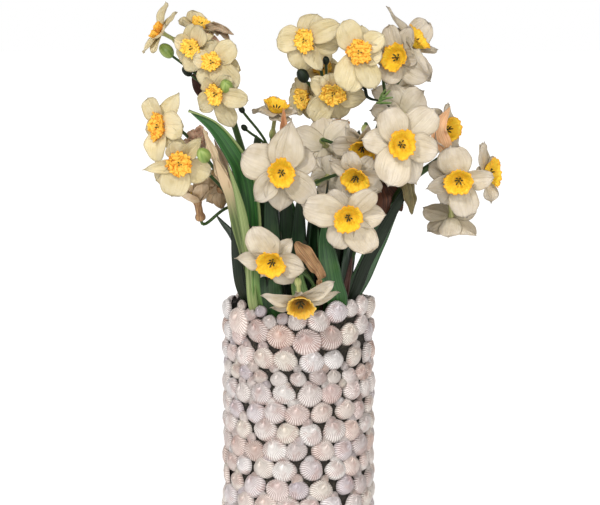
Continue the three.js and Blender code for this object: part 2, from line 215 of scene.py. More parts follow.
def dryTissue(name, own):
    look = {**drySkin, **own}
    material, tree = newMaterial(name)
    uv = addNode(tree, "ShaderNodeTexCoord").outputs["UV"]
    where = addNode(tree, "ShaderNodeTexCoord").outputs["Object"]
    lines = addNode(tree, "ShaderNodeMapping", (), {0: uv, "Scale": (look["veins"], 1.2, 1)})
    veins = addNode(tree, "ShaderNodeTexNoise", (), {"Vector": lines.outputs[0], "Scale": 1.0, "Detail": 3.0})
    clouds = addNode(tree, "ShaderNodeTexNoise", (),
                     {"Vector": where, "Scale": 1 / (look["cloud"] * mm), "Detail": 3.0})
    body = addNode(tree, "ShaderNodeValToRGB", (), {0: veins.outputs["Fac"]},
                   [(0.35, look["dark"]), (0.65, look["light"])])
    patched = addLayer(tree, body.outputs[0], clouds.outputs["Fac"],
                       [(0.5, noShare), (0.7, look["patchShare"])], srgb(look["patch"]))
    finishMaterial(tree, patched, veins.outputs["Fac"], look["relief"],
                   {"Roughness": 0.7, "Subsurface Weight": 0.1, "Subsurface Scale": look["glowDepth"] * mm})
    return material


# Cockle shell: chalky lime with a dull polish, ribbed and banded, tinted most at its beak. There is
# a rib about every 2 mm of the rim, and a growth band about every 1.5 mm.
def shellLime(name, look):
    material, tree = newMaterial(name)
    uv = addNode(tree, "ShaderNodeTexCoord").outputs["UV"]
    at = addNode(tree, "ShaderNodeSeparateXYZ", (), {0: uv}).outputs
    tone = addNode(tree, "ShaderNodeAttribute", {"attribute_name": "tone"}).outputs["Fac"]
    where = addNode(tree, "ShaderNodeTexCoord").outputs["Object"]
    tint = addNode(tree, "ShaderNodeValToRGB", (), {0: tone}, look["tints"])
    beak = addNode(tree, "ShaderNodeValToRGB", (), {0: tone}, look["beaks"])
    body = addLayer(tree, tint.outputs[0], at["Y"],
                    [(0.1, look["beakShare"]), (0.75, noShare)], beak.outputs[0])
    patches = addNode(tree, "ShaderNodeTexNoise", (),
                      {"Vector": where, "Scale": 1 / (look["patch"] * mm), "Detail": 2.0})
    stained = addLayer(tree, body, patches.outputs["Fac"],
                       [(0.5, noShare), (0.64, look["stainShare"])], srgb(look["stain"]))
    rings = addNode(tree, "ShaderNodeMapping", (), {0: uv, "Scale": (1.2, look["bands"], 1)})
    bands = addNode(tree, "ShaderNodeTexNoise", {"noise_dimensions": "4D"},
                    {"Vector": rings.outputs[0], "W": tone, "Scale": 1.0, "Detail": 2.0})
    banded = addLayer(tree, stained, bands.outputs["Fac"],
                      [(0.45, noShare), (0.72, look["bandShare"])], srgb(look["band"]))
    # The furrows between the ribs are darker, most of all near the rim.
    ribs = addNode(tree, "ShaderNodeMath", {"operation": "MULTIPLY"},
                   {0: at["X"], 1: look["ribs"] * 2 * math.pi})
    swing = addNode(tree, "ShaderNodeMath", {"operation": "COSINE"}, {0: ribs.outputs[0]})
    furrow = addNode(tree, "ShaderNodeMapRange", (), {0: swing.outputs[0], 1: 1.0, 2: -1.0, 3: 0.0, 4: 1.0})
    rimward = addNode(tree, "ShaderNodeMapRange", (), {0: at["Y"], 1: 0.05, 2: 0.4, 3: 0.5, 4: 1.0})
    fade = addNode(tree, "ShaderNodeMath", {"operation": "MULTIPLY"},
                   {0: furrow.outputs[0], 1: rimward.outputs[0]})
    furrowTintShare = addNode(tree, "ShaderNodeMath", {"operation": "MULTIPLY"},
                        {0: fade.outputs[0], 1: look["furrowTintShare"]})
    furrowTinted = addNode(tree, "ShaderNodeMix", {"data_type": "RGBA"},
                    {0: furrowTintShare.outputs[0], 6: banded, 7: srgb(look["furrowTint"])})
    # The ribs' crests are whiter near the rim: partly worn lime, partly a painted highlight.
    crest = addNode(tree, "ShaderNodeMapRange", (),
                    {0: swing.outputs[0], 1: 0.1, 2: 1.0, 3: 0.0, 4: look["crestShare"]})
    crestShare = addNode(tree, "ShaderNodeMath", {"operation": "MULTIPLY"},
                         {0: crest.outputs[0], 1: rimward.outputs[0]})
    worn = addNode(tree, "ShaderNodeMix", {"data_type": "RGBA"},
                   {0: crestShare.outputs[0], 6: furrowTinted.outputs[2], 7: srgb(look["crest"])})
    # Painted shade: the shell darkens towards its rim, where it is bedded in the mortar.
    rimPaintedShade = addLayer(tree, worn.outputs[2], at["Y"],
                     [(0.74, noShare), (0.96, look["rimShare"])], srgb(look["rim"]))
    grain = addNode(tree, "ShaderNodeTexNoise", (),
                    {"Vector": where, "Scale": 1 / (look["grain"] * mm), "Detail": 2.0})
    relief = addNode(tree, "ShaderNodeMath", {"operation": "MULTIPLY_ADD"},
                     {0: fade.outputs[0], 1: -look["furrowDepth"], 2: grain.outputs["Fac"]})
    finishMaterial(tree, rimPaintedShade, relief.outputs[0], look["relief"],
                   {"Roughness": 0.32, "IOR": 1.53, "Specular IOR Level": 0.6})
    return material


# Cement mortar: rough and speckled, with sand grains near a millimetre across.
# Its near-black is partly the grout's own dark brown and partly painted shade in the gaps between the shells.
def mortarCement(name, look):
    material, tree = newMaterial(name)
    where = addNode(tree, "ShaderNodeTexCoord").outputs["Object"]
    grain = addNode(tree, "ShaderNodeTexNoise", (),
                    {"Vector": where, "Scale": 1 / (look["grain"] * mm), "Detail": 4.0})
    damp = addNode(tree, "ShaderNodeTexNoise", (),
                   {"Vector": where, "Scale": 1 / (look["patch"] * mm), "Detail": 2.0})
    speckle = addNode(tree, "ShaderNodeValToRGB", (), {0: grain.outputs["Fac"]}, look["grains"])
    stained = addLayer(tree, speckle.outputs[0], damp.outputs["Fac"],
                       [(0.45, noShare), (0.7, look["stainShare"])], srgb(look["stain"]))
    finishMaterial(tree, stained, grain.outputs["Fac"], look["relief"], {"Roughness": 0.95})
    return material


# Loose or baked matter with one grain, its size in millimetres: potting mix, fired clay and the like.
def grainyMatter(name, grainSize, stops, roughness, relief):
    material, tree = newMaterial(name)
    where = addNode(tree, "ShaderNodeTexCoord").outputs["Object"]
    grain = addNode(tree, "ShaderNodeTexNoise", (),
                    {"Vector": where, "Scale": 1 / (grainSize * mm), "Detail": 5.0, "Roughness": 0.65})
    colour = addNode(tree, "ShaderNodeValToRGB", (), {0: grain.outputs["Fac"]}, stops)
    finishMaterial(tree, colour.outputs[0], grain.outputs["Fac"], relief, {"Roughness": roughness})
    return material


materials = {
    "frilledPetals": petalTissue("narcissus_petal_frilled", {
        "body": "#d8cba8", "shade": "#cabb92", "vein": "#b09a6c", "veinShare": "#707070",
        "flushAndShade": "#dcc070", "flushAndShadeShare": "#747474", "rim": "#6f5a3c", "rimShare": "#a0a0a0"}),
    "smoothPetals": petalTissue("narcissus_petal_smooth", {
        "body": "#d2c7b6", "shade": "#c3b6a1", "vein": "#96866c", "veinShare": "#8c8c8c",
        "flushAndShade": "#c6b87a", "flushAndShadeShare": "#707070", "rim": "#6a563a", "rimShare": "#a6a6a6"}),
    "blushPetals": petalTissue("narcissus_petal_withering", {
        "body": "#dcc4a4", "shade": "#bfa27e", "vein": "#7c6246", "veinShare": "#868686",
        "flushAndShade": "#a8804a", "flushAndShadeShare": "#606060", "rim": "#4e3624", "rimShare": "#a6a6a6"}),
    # The dark ends of the depth ramps are painted shade for the deep folds and the cup floors.
    "frilledCup": cupTissue("narcissus_cup_frilled", {
        "depth": [(0.05, "#8e5216"), (0.25, "#cf8c26"), (0.5, "#e6ac38"), (0.8, "#f0c24c")],
        "fold": "#d68c26", "foldShare": "#6c6c6c", "glow": "#f4d068", "glowShare": "#a8a8a8"}),
    "orangeCup": cupTissue("narcissus_cup_frilled_orange", {
        "depth": [(0.05, "#7c3e10"), (0.3, "#c4741c"), (0.6, "#e09a30"), (0.85, "#e8b244")],
        "fold": "#c8701c", "foldShare": "#707070", "glow": "#f4c858", "glowShare": "#9c9c9c"}),
    "smoothCup": cupTissue("narcissus_cup_smooth", {
        "depth": [(0, "#9a7a1e"), (0.07, "#c29a22"), (0.15, "#e4b428"), (0.85, "#e8c034"), (1, "#d99a26")],
        "fold": "#cc8a1a", "foldShare": "#8c8c8c", "glow": "#ecd055", "glowShare": "#808080"}),
    "wiltedCup": cupTissue("narcissus_cup_wilted", {
        "depth": [(0, "#3e2a0e"), (0.12, "#6e4a16"), (0.4, "#a0721f"), (0.85, "#cfa030"), (1, "#d8b458")],
        "fold": "#84480f", "foldShare": "#a0a0a0", "glow": "#dcb440", "glowShare": "#808080"}),
    "stamens": grainyMatter("pollen_dusted_anther", 0.8, [(0.4, "#25230e"), (0.7, "#54501e")], 0.8, 0.2),
    "tube": greenTissue("narcissus_flower_tube", {
        "veins": 10, "dark": "#868f50", "light": "#bdb782", "worn": "#937844", "footShare": "#cccccc",
        "tipShare": noShare, "end": "#4c6a2c", "roughness": 0.5, "wax": 0.1}),
    "stalk": greenTissue("narcissus_scape", {
        "dark": "#22381a", "light": "#47602c", "worn": "#54482a", "wornShare": "#9a9a9a",
        "footShare": "#303030", "tipShare": "#404040", "end": "#666c3a", "roughness": 0.5, "wax": 0.1}),
    "purpleStalk": greenTissue("narcissus_scape_withered", {
        "dark": "#2c1a16", "light": "#5a3a30", "worn": "#3e3a20", "wornShare": "#9a9a9a",
        "footShare": "#303030", "tipShare": "#404040", "end": "#4a3a2a", "roughness": 0.6, "wax": 0.1}),
    "bud": greenTissue("narcissus_green_bud", {
        "veins": 8, "dark": "#66803a", "light": "#98a85c", "worn": "#7c7840", "wornShare": "#505050",
        "footShare": "#606060", "tipShare": "#404040", "end": "#5a6a2c", "roughness": 0.38}),
    "leaf": greenTissue("narcissus_leaf", {
        "veins": 18, "dark": "#163618", "light": "#335a2a", "worn": "#566c34", "tipShare": "#909090",
        "end": "#62703a"}),
    "bigLeaf": greenTissue("narcissus_leaf_rolled", {
        "veins": 18, "dark": "#173c18", "light": "#346828", "worn": "#40622a", "wornShare": "#606060",
        "tipShare": "#b0b0b0", "end": "#525c44", "marginShare": "#d0d0d0", "margin": "#98a268"}),
    "oliveLeaf": greenTissue("narcissus_leaf_pale", {
        "veins": 10, "dark": "#566a36", "light": "#98a06c", "worn": "#a8a47a", "wornShare": "#909090",
        "footShare": "#505050", "end": "#a09c72", "roughness": 0.5, "wax": 0.1}),
    "dyingLeaf": greenTissue("narcissus_leaf_dying", {
        "veins": 12, "dark": "#3e4e2a", "light": "#74804e", "worn": "#7c6e46", "wornShare": "#909090",
        "footShare": "#505050", "tipShare": "#f0f0f0", "tipFrom": 0.5, "tipFull": 0.74, "end": "#c0a686",
        "roughness": 0.55, "wax": 0.05}),
    "brightLeaf": greenTissue("narcissus_leaf_young", {
        "veins": 12, "dark": "#3f622c", "light": "#7e9456", "worn": "#8e985e", "tipShare": "#707070",
        "end": "#8c945c", "roughness": 0.45, "wax": 0.15}),
    "darkLeaf": greenTissue("narcissus_leaf_old", {
        "veins": 16, "dark": "#0e2212", "light": "#213e1e", "worn": "#3a4420", "wornShare": "#808080",
        "footShare": "#606060", "end": "#5a4c2e"}),
    # Near-black leaves, painted shade for the depth of the bunch: the dark fillers, the crowded leaves and
    # the pods take them.
    "shadeLeaf": greenTissue("narcissus_leaf_painted_shade", {
        "dark": "#0c140b", "light": "#1c2a16", "worn": "#2a2414", "wornShare": "#a0a0a0",
        "footShare": "#404040", "end": "#3a2e1c", "roughness": 0.6, "wax": 0.05}),
    "peachSheath": dryTissue("dry_spathe_peach", {"dark": "#d0986a", "light": "#f0c69c", "patch": "#c8803f"}),
    "orangeSheath": dryTissue("dry_spathe_orange", {
        "dark": "#b87848", "light": "#dca67c", "patch": "#945a34", "patchShare": "#606060"}),
    "paleSheath": dryTissue("dry_spathe_papery", {
        "dark": "#9a8060", "light": "#d8c4a2", "patch": "#765a3a", "patchShare": "#707070"}),
    "tanSheath": dryTissue("dry_spathe_tan", {"dark": "#7e6850", "light": "#b9a286", "patch": "#5e4a32"}),
    "darkSheath": dryTissue("dry_spathe_maroon", {"dark": "#26110c", "light": "#54261a", "patch": "#180c09"}),
    "redSheath": dryTissue("dry_spathe_red_brown", {
        "dark": "#2e1810", "light": "#6e4028", "patch": "#201110", "patchShare": "#a0a0a0"}),
    "oliveSheath": dryTissue("dry_spathe_olive", {"dark": "#4a4228", "light": "#8a7c50", "patch": "#332c1a"}),
    "brownSheath": dryTissue("dry_spathe_brown", {
        "dark": "#7c5226", "light": "#b88848", "patch": "#5a3618", "patchShare": "#707070"}),
    "curledSheath": dryTissue("dry_spathe_tan_brown", {
        "dark": "#725034", "light": "#b48e62", "patch": "#46301d", "patchShare": "#909090"}),
    "driedFlower": dryTissue("withered_petal", {
        "dark": "#94705a", "light": "#d0b096", "patch": "#6a4632", "patchShare": "#606060"}),
    "shell": shellLime("cockle_shell", {
        "tints": [(0, "#dcd0ca"), (0.15, "#f4ece6"), (0.3, "#e8d2cc"), (0.45, "#f4eadc"), (0.6, "#d8cbd0"),
                  (0.75, "#faf6f2"), (0.9, "#eccfc0"), (1, "#c0b2b0")],
        "beaks": [(0, "#bfb1b3"), (0.15, "#e0c4bc"), (0.3, "#c48c86"), (0.45, "#e2ceb0"), (0.6, "#aa96aa"),
                  (0.75, "#eae4de"), (0.9, "#cc8a62"), (1, "#9c8e92")],
        "beakShare": "#9c9c9c", "patch": 9, "stain": "#b67c6c", "stainShare": "#b0b0b0",
        "bands": 9, "band": "#aa8682", "bandShare": "#585858", "ribs": 28, "furrowTint": "#5a4238",
        "furrowTintShare": 0.42, "crest": "#fffcf8", "crestShare": 0.45, "rim": "#3c2e26", "rimShare": "#b0b0b0",
        "grain": 0.9, "relief": 0.4, "furrowDepth": 1.6}),
    "mortar": mortarCement("cement_mortar", {
        "grain": 1.4, "grains": [(0.35, "#0d0b08"), (0.55, "#221d15"), (0.72, "#50483a")], "relief": 0.8,
        "patch": 12, "stain": "#1c1810", "stainShare": "#999999"}),
    "soil": grainyMatter("potting_mix", 2.2,
                         [(0.35, "#120d09"), (0.6, "#2c2017"), (0.75, "#4c3a2a")], 0.95, 1.2),
    "bulb": dryTissue("bulb_tunic", {"dark": "#5e3d22", "light": "#966c42", "patch": "#3a2518"}),
    "pot": grainyMatter("fired_stoneware", 1.6, [(0.3, "#6f685c"), (0.7, "#8f877a")], 0.75, 0.1),
}
print("materials:", len(materials))


# Shapes

def facingVector(azimuth, elevation=0.0):   # azimuth 0 faces the front and 90 the right
    a, e = math.radians(azimuth), math.radians(elevation)
    return Vector((math.cos(e) * math.sin(a), -math.cos(e) * math.cos(a), math.sin(e)))


def facingTurn(azimuth, elevation, roll):   # +Z becomes the way it faces, and +Y its upright
    forward = facingVector(azimuth, elevation)
    side = Vector((0, 0, 1)).cross(forward).normalized()
    up = forward.cross(side)
    return Matrix((side, up, forward)).transposed() @ Matrix.Rotation(-math.radians(roll), 3, "Z")


def smoothStep(low, high, x):
    t = min(1.0, max(0.0, (x - low) / (high - low)))
    return t * t * (3 - 2 * t)


def mix(a, b, t):
    return a + (b - a) * t


# A smooth line through the knots: each span is a Bezier curve with handles a third as long as it.
def smoothLine(knots, steps):
    knots = [Vector(k) for k in knots]
    ways = []
    for i in range(len(knots)):
        ways.append((knots[min(i + 1, len(knots) - 1)] - knots[max(i - 1, 0)]).normalized())
    line = []
    for i in range(len(knots) - 1):
        handle = (knots[i + 1] - knots[i]).length / 3
        span = interpolate_bezier(knots[i], knots[i] + ways[i] * handle,
                                  knots[i + 1] - ways[i + 1] * handle, knots[i + 1], steps + 1)
        line += span if i == 0 else span[1:]
    return line


def pointAlong(line, t):
    at = min(max(t, 0.0), 1.0) * (len(line) - 1)
    i = min(int(at), len(line) - 2)
    return line[i].lerp(line[i + 1], at - i)


def wayAlong(line, t):
    step = 0.5 / (len(line) - 1)
    return (pointAlong(line, t + step) - pointAlong(line, t - step)).normalized()


# A grid whose corners' u and v go to place(u, v), with its map laid out the same way. Its tone is
# a number, or a function of u and v.
def addSurface(bm, across, along, place, tone=0.5):
    bm.loops.layers.uv.verify()
    toneLayer = bm.verts.layers.float.get("tone") or bm.verts.layers.float.new("tone")
    made = bmesh.ops.create_grid(bm, x_segments=across, y_segments=along, size=0.5, calc_uvs=True)["verts"]
    for vert in made:
        u, v = vert.co.x + 0.5, vert.co.y + 0.5
        vert.co = place(u, v)
        vert[toneLayer] = tone(u, v) if callable(tone) else tone


# A round stalk along a line, closed at both ends, without twist.
def addTube(bm, line, radiusAt, sides):
    steps = len(line) - 1
    across = Vector((1, 0, 0)) if abs(wayAlong(line, 0).x) < 0.8 else Vector((0, 1, 0))
    rings = []
    for i in range(steps + 1):
        way = wayAlong(line, i / steps)
        across = (across - way * across.dot(way)).normalized()
        rings.append((line[i], across.copy(), way.cross(across)))

    def place(u, v):
        point, side, up = rings[round(v * steps)]
        angle = 2 * math.pi * u
        return point + (side * math.cos(angle) + up * math.sin(angle)) * radiusAt(v)

    addSurface(bm, sides, steps, place)


# The height at a point of a rough surface: each of its lumps is a height and a width.
def lumpsAt(point, lumps):
    return sum(height * noise.noise(point / width) for height, width in lumps)


# Makes a piece of a shape. A solid is closed, and a thin skin is given a wall.
def finishPiece(name, bm, material, nodes, wall=0.0, closed=True):
    bmesh.ops.remove_doubles(bm, verts=bm.verts, dist=0.002)
    if closed:
        bmesh.ops.holes_fill(bm, edges=[e for e in bm.edges if e.is_boundary])
        bmesh.ops.recalc_face_normals(bm, faces=bm.faces)
    bmesh.ops.scale(bm, vec=(mm, mm, mm), verts=bm.verts)
    mesh = bpy.data.meshes.new(name)
    bm.to_mesh(mesh)
    bm.free()
    mesh.shade_smooth()
    mesh.materials.append(materials[material])
    piece = bpy.data.objects.new(name, mesh)
    scene.collection.objects.link(piece)
    if wall:
        thick = piece.modifiers.new("Solidify", "SOLIDIFY")
        thick.thickness = wall * mm
        thick.offset = 0.0
    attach(piece, "root")
    if nodes:
        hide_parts(*nodes)


# Camera, floor and light

view = {"eye": (1, -1250, 398), "aim": (1, 0, 243), "lens": 100.8}
studioReach = {"sight": 200, "floor": 80}    # in metres: how far the camera sees, and half the floor's side
cameraData = bpy.data.cameras.new("camera")
cameraData.lens = view["lens"]
cameraData.clip_end = studioReach["sight"]
camera = bpy.data.objects.new("camera", cameraData)
camera.location = Vector(view["eye"]) * mm
camera.rotation_euler = (Vector(view["aim"]) - Vector(view["eye"])).to_track_quat("-Z", "Y").to_euler()
scene.collection.objects.link(camera)
scene.camera = camera
scene.view_settings.view_transform = "Standard"

floorMesh = bpy.data.meshes.new("floor")
floorShape = bmesh.new()
bmesh.ops.create_grid(floorShape, x_segments=1, y_segments=1, size=studioReach["floor"])
floorShape.to_mesh(floorMesh)
floorShape.free()
# A backlit white sheet, as product photographs have it: pale all over, and shadows hardly show on it.
floorMaterial, floorTree = newMaterial("backlit_acrylic_floor")
finishMaterial(floorTree, srgb("#8c8b89"), None, 0,
               {"Roughness": 1.0, "Specular IOR Level": 0.0, "Emission Color": srgb("#ffffff"),
                "Emission Strength": 0.92})
floorMesh.materials.append(floorMaterial)
floor = bpy.data.objects.new("floor", floorMesh)
scene.collection.objects.link(floor)

# A white backdrop stands all round at the level of the eye, and the studio is dimmer above it.
world = bpy.data.worlds.new("studio")
world.use_nodes = True
studio = world.node_tree
level = addNode(studio, "ShaderNodeSeparateXYZ", (),
                {0: addNode(studio, "ShaderNodeTexCoord").outputs["Generated"]}).outputs["Z"]
backdropGlow = addNode(studio, "ShaderNodeValToRGB", (), {0: level}, [(0.16, "#ffffff"), (0.32, "#8e8a84")])
studio.links.new(backdropGlow.outputs[0], studio.nodes["Background"].inputs["Color"])
scene.world = world

# Two broad lamps, far off, so that their light is even and their shadows are soft: the key is up to
# the left, and the fill near the camera.
lamps = {
    "key": {"from": (-32, -64, 54), "strength": 1.95, "breadth": 7},
    "fill": {"from": (20, -88, 24), "strength": 1.35, "breadth": 30},
}
for lampName, lampRow in lamps.items():
    lamp = bpy.data.lights.new(lampName, "SUN")
    lamp.energy = lampRow["strength"]
    lamp.angle = math.radians(lampRow["breadth"])
    lampObject = bpy.data.objects.new(lampName, lamp)
    lampObject.rotation_euler = (-Vector(lampRow["from"])).to_track_quat("-Z", "Y").to_euler()
    scene.collection.objects.link(lampObject)
print("camera, floor and light")


# Pot

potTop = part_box("pot")[1]
pot = {"radius": round(potTop.x / mm), "height": round(potTop.z / mm), "wall": 4, "floor": 6,
       "rimRound": 1.8, "sides": 96}


def addTurned(bm, profile, sides):   # a profile of (radius, height) turned round the pot's axis
    verts = [bm.verts.new((radius, 0, height)) for radius, height in profile]
    edges = [bm.edges.new(pair) for pair in zip(verts, verts[1:])]
    bmesh.ops.spin(bm, geom=verts + edges, cent=(0, 0, 0), axis=(0, 0, 1), angle=2 * math.pi,
                   steps=sides, use_merge=True)
    bmesh.ops.remove_doubles(bm, verts=bm.verts, dist=0.001)
    bmesh.ops.recalc_face_normals(bm, faces=bm.faces)


def makePot():
    bm = bmesh.new()
    inner = pot["radius"] - pot["wall"]
    profile = [(0, 0), (pot["radius"], 0), (pot["radius"], pot["height"]), (inner, pot["height"]),
               (inner, pot["floor"]), (0, pot["floor"])]
    addTurned(bm, profile, pot["sides"])
    rims = [e for e in bm.edges if abs(e.verts[0].co.z - e.verts[1].co.z) < 0.01
            and e.verts[0].co.z > pot["height"] - 0.1 and len(e.link_faces) == 2
            and abs(e.verts[0].co.xy.length - e.verts[1].co.xy.length) < 0.01]
    bmesh.ops.bevel(bm, geom=rims, offset=pot["rimRound"], offset_type="OFFSET", affect="EDGES", segments=4,
                    profile=0.5, material=-1)
    finishPiece("pot_body", bm, "pot", ["pot"])


makePot()
print("pot")


# Shell cladding

cladding = {
    "mortarRadius": 52.6, "inner": 50.4, "foot": 1.2, "top": 201.5, "steps": 60, "sides": 180,
    "rough": 0.45, "lumps": [(1, 7), (0.5, 2.5)],
    # Shells stand out from this radius, and each leans and strays a little. Some turn by a few
    # degrees, about as far as steady says, and others by any angle up to askew.
    "shellSeat": 53.6, "lean": 5, "levelStray": 1.4, "sideStray": 0.13, "steady": 12, "askew": 42,
    # Rows of shells from the second one down, each with the height of its middle
    "rows": [186, 170.5, 157.5, 145, 131, 117, 102.5, 88.5, 74, 60.5, 47.5, 34.5, 21.5, 9.4],
    "smallRow": 2, "perRow": 19, "perSmallRow": 24, "size": (8.1, 9.8), "smallSize": (6.0, 7.4),
    # Small shells fill most of the gaps between two rows.
    "fillerSize": (3.4, 5.4), "fillerShare": 0.9, "fillerDrop": 0.9, "fillerStray": 2,
    # The shells that stand on the rim: degrees to the right of the front, height, radius and tilt
    "rim": [(-54, 195.5, 12, -24), (-51, 208, 4.2, 10), (-41, 202, 5.4, -8), (-31, 205.5, 4.6, 30),
            (-23, 198, 5.8, -20), (-12.5, 201, 4.6, 50), (-1, 199.5, 7.4, 35), (16, 199, 8.6, -12),
            (31, 205, 8.8, 4), (45, 206.5, 7, -6), (59, 207, 8.2, 12), (76, 203, 9, -18)],
    # The front of the row below them
    "second": [(-47, 181.6, 3.4, 0), (-33, 190.7, 9.8, 5), (-29, 179.4, 4.2, 40), (-14, 187.5, 10.4, 0),
               (-9, 176.6, 5.2, -30), (6.5, 184, 10.8, 18), (25, 186.6, 9.8, -4), (43, 187.5, 9.2, 6),
               (52, 178, 4.4, 20), (58, 193, 8.4, 0)],
    # The rest of the rim, which the front doesn't show, small shells and large ones
    "backRim": {"from": 92, "to": 292, "level": (198.5, 204), "sizes": [(5.2, 7), (7.6, 9.6)], "tilt": 18,
                "closeness": 0.95},
    "rimWall": 0.8,
}
# A shell's measures are shares of its radius, and sunk is in millimetres. Its grid has a column for
# each rib.
shell = {"beak": 0.64, "beakLevel": 0.72, "dome": 0.56, "wide": 1.05, "tall": 0.94, "narrowing": 0.22,
         "scallop": 0.01, "rib": 0.008, "sunk": 1.2, "grid": (26, 4), "fillerGrid": (16, 3)}


def makeMortar():
    bm = bmesh.new()
    c = cladding
    outside = [(c["mortarRadius"], mix(c["foot"], c["top"], i / c["steps"])) for i in range(c["steps"] + 1)]
    profile = [(c["inner"], c["foot"])] + outside + [(c["inner"], c["top"])]
    addTurned(bm, profile + [profile[0]], c["sides"])
    for vert in bm.verts:
        if vert.co.xy.length > c["inner"] + 1:
            vert.co.xy *= 1 + c["rough"] * lumpsAt(vert.co, c["lumps"]) / c["mortarRadius"]
    finishPiece("mortar", bm, "mortar", ["shell_cladding"])


# One cockle half, beak up in +Y and its back in +Z. Rays run from the beak to all of the rim, which
# goes a little way down into the mortar.
def addShell(bm, turn, at, radius, tone, grid, worn):
    beak = Vector((0, shell["beak"] * radius))
    columns, rings = grid

    def place(u, v):
        psi = 2 * math.pi * (u - 0.5)
        down = 0.5 + 0.5 * math.cos(psi)              # 1 on the ray that runs straight down
        out = 1 - (1 - v) ** 1.5
        ridge = -math.cos(math.pi * columns * u)
        ribbed = smoothStep(0.05, 0.35, down) * smoothStep(0.2, 1, v) * worn
        rim = radius * (1 + shell["scallop"] * ridge * ribbed)
        narrow = 1 - shell["narrowing"] * smoothStep(0, 1.0, -math.cos(psi))
        edge = Vector((shell["wide"] * narrow * rim * math.sin(psi), -shell["tall"] * rim * math.cos(psi)))
        flat = beak.lerp(edge, out)
        swell = mix(shell["beakLevel"], 1.0, smoothStep(0, 0.5, out) * down)
        lift = radius * shell["dome"] * swell * (1 - out ** 2.5) ** 0.85
        lift += shell["rib"] * radius * ridge * ribbed
        if v > 0.999:
            lift = -shell["sunk"]
        return at + turn @ Vector((flat.x, flat.y, lift))

    addSurface(bm, columns, rings, place, tone)


def placeShell(bm, rng, angle, height, radius, tilt, grid):
    a = math.radians(angle)
    outward = Vector((math.cos(a), math.sin(a), 0))
    side = Vector((0, 0, 1)).cross(outward)
    turn = Matrix((side, Vector((0, 0, 1)), outward)).transposed()
    lean = cladding["lean"]
    for turned, axis in [(tilt, "Z"), (rng.gauss(0, lean), "X"), (rng.gauss(0, lean), "Y")]:
        turn = turn @ Matrix.Rotation(math.radians(turned), 3, axis)
    at = outward * cladding["shellSeat"] + Vector((0, 0, height))
    addShell(bm, turn, at, radius, rng.random(), grid, rng.uniform(0.5, 1.1))


def finishShells(name, bm, wall=0.0):
    bmesh.ops.reverse_faces(bm, faces=bm.faces)       # so that the shells' backs point outwards
    finishPiece(name, bm, "shell", ["shell_cladding"], wall=wall, closed=False)


def makeRimShells():
    rng = random.Random(29)
    bm = bmesh.new()
    for degrees, height, radius, tilt in cladding["rim"] + cladding["second"]:
        placeShell(bm, rng, front + degrees, height, radius, tilt, shell["grid"])
    back = cladding["backRim"]
    degrees = back["from"]
    while degrees < back["to"]:
        radius = rng.choice([rng.uniform(*span) for span in back["sizes"]])
        placeShell(bm, rng, front + degrees, mix(*back["level"], rng.random()), radius,
                   rng.gauss(0, back["tilt"]), shell["grid"])
        degrees += math.degrees(2 * radius * back["closeness"] / cladding["shellSeat"])
    finishShells("shell_rim", bm, cladding["rimWall"])


def makeShells():
    c = cladding
    rng = random.Random(11)
    last = len(c["rows"]) - 1
    for row, level in enumerate(c["rows"]):
        bm = bmesh.new()
        small = row == c["smallRow"]
        count = c["perSmallRow"] if small else c["perRow"]
        low, high = c["smallSize"] if small else c["size"]
        shift = 0.5 * (row % 2)
        for i in range(count):
            radius = rng.uniform(low, high)
            stray = rng.uniform(-c["sideStray"], c["sideStray"])
            degrees = (360 * (i + shift + stray) / count + 180) % 360 - 180
            angle = front + degrees
            tilt = rng.choice([rng.gauss(0, c["steady"]), rng.uniform(-c["askew"], c["askew"])])
            height = level + rng.uniform(-c["levelStray"], c["levelStray"])
            if row == last:
                radius, height = low, level
            if row == 0 and c["second"][0][0] < degrees < c["second"][-1][0] + 5:
                continue                              # the front of this row is placed one by one
            placeShell(bm, rng, angle, height, radius, tilt, shell["grid"])
            if rng.random() < c["fillerShare"] and row < last:
                drop = c["fillerDrop"] * 0.5 * (level - c["rows"][row + 1])
                beside = angle + 180 / count + rng.uniform(-c["fillerStray"], c["fillerStray"])
                placeShell(bm, rng, beside, level - drop, rng.uniform(*c["fillerSize"]),
                           rng.uniform(-180, 180), shell["fillerGrid"])
        finishShells(f"shell_row_{row + 1:02d}", bm)


makeMortar()
makeRimShells()
makeShells()
print("shell cladding")


# Soil and bulbs

soil = {"radius": 45.4, "edge": 183, "crown": 186, "foot": 6.4, "sides": 72, "rings": 14,
        "lumps": [(1.1, 6), (0.6, 2.4)], "crumbs": 90, "crumbSize": (1.0, 2.6), "crumbReach": 0.94}
bulb = {
    "nodes": ["bulb_front_left", "bulb_front_right", "bulb_back_left", "bulb_back_right"],
    "foot": 144, "rise": 47, "sides": 32, "rows": 20,
    "swell": [(7, 0), (14, 7), (17, 18), (15.5, 30), (12, 40), (11.4, 46), (9.5, 47.5)],   # radius, height
    # Its scales show as low ridges: each set's height as a share of the radius, number and winding
    "ridges": [(0.02, 11, 2), (0.015, 17, 5)],
}


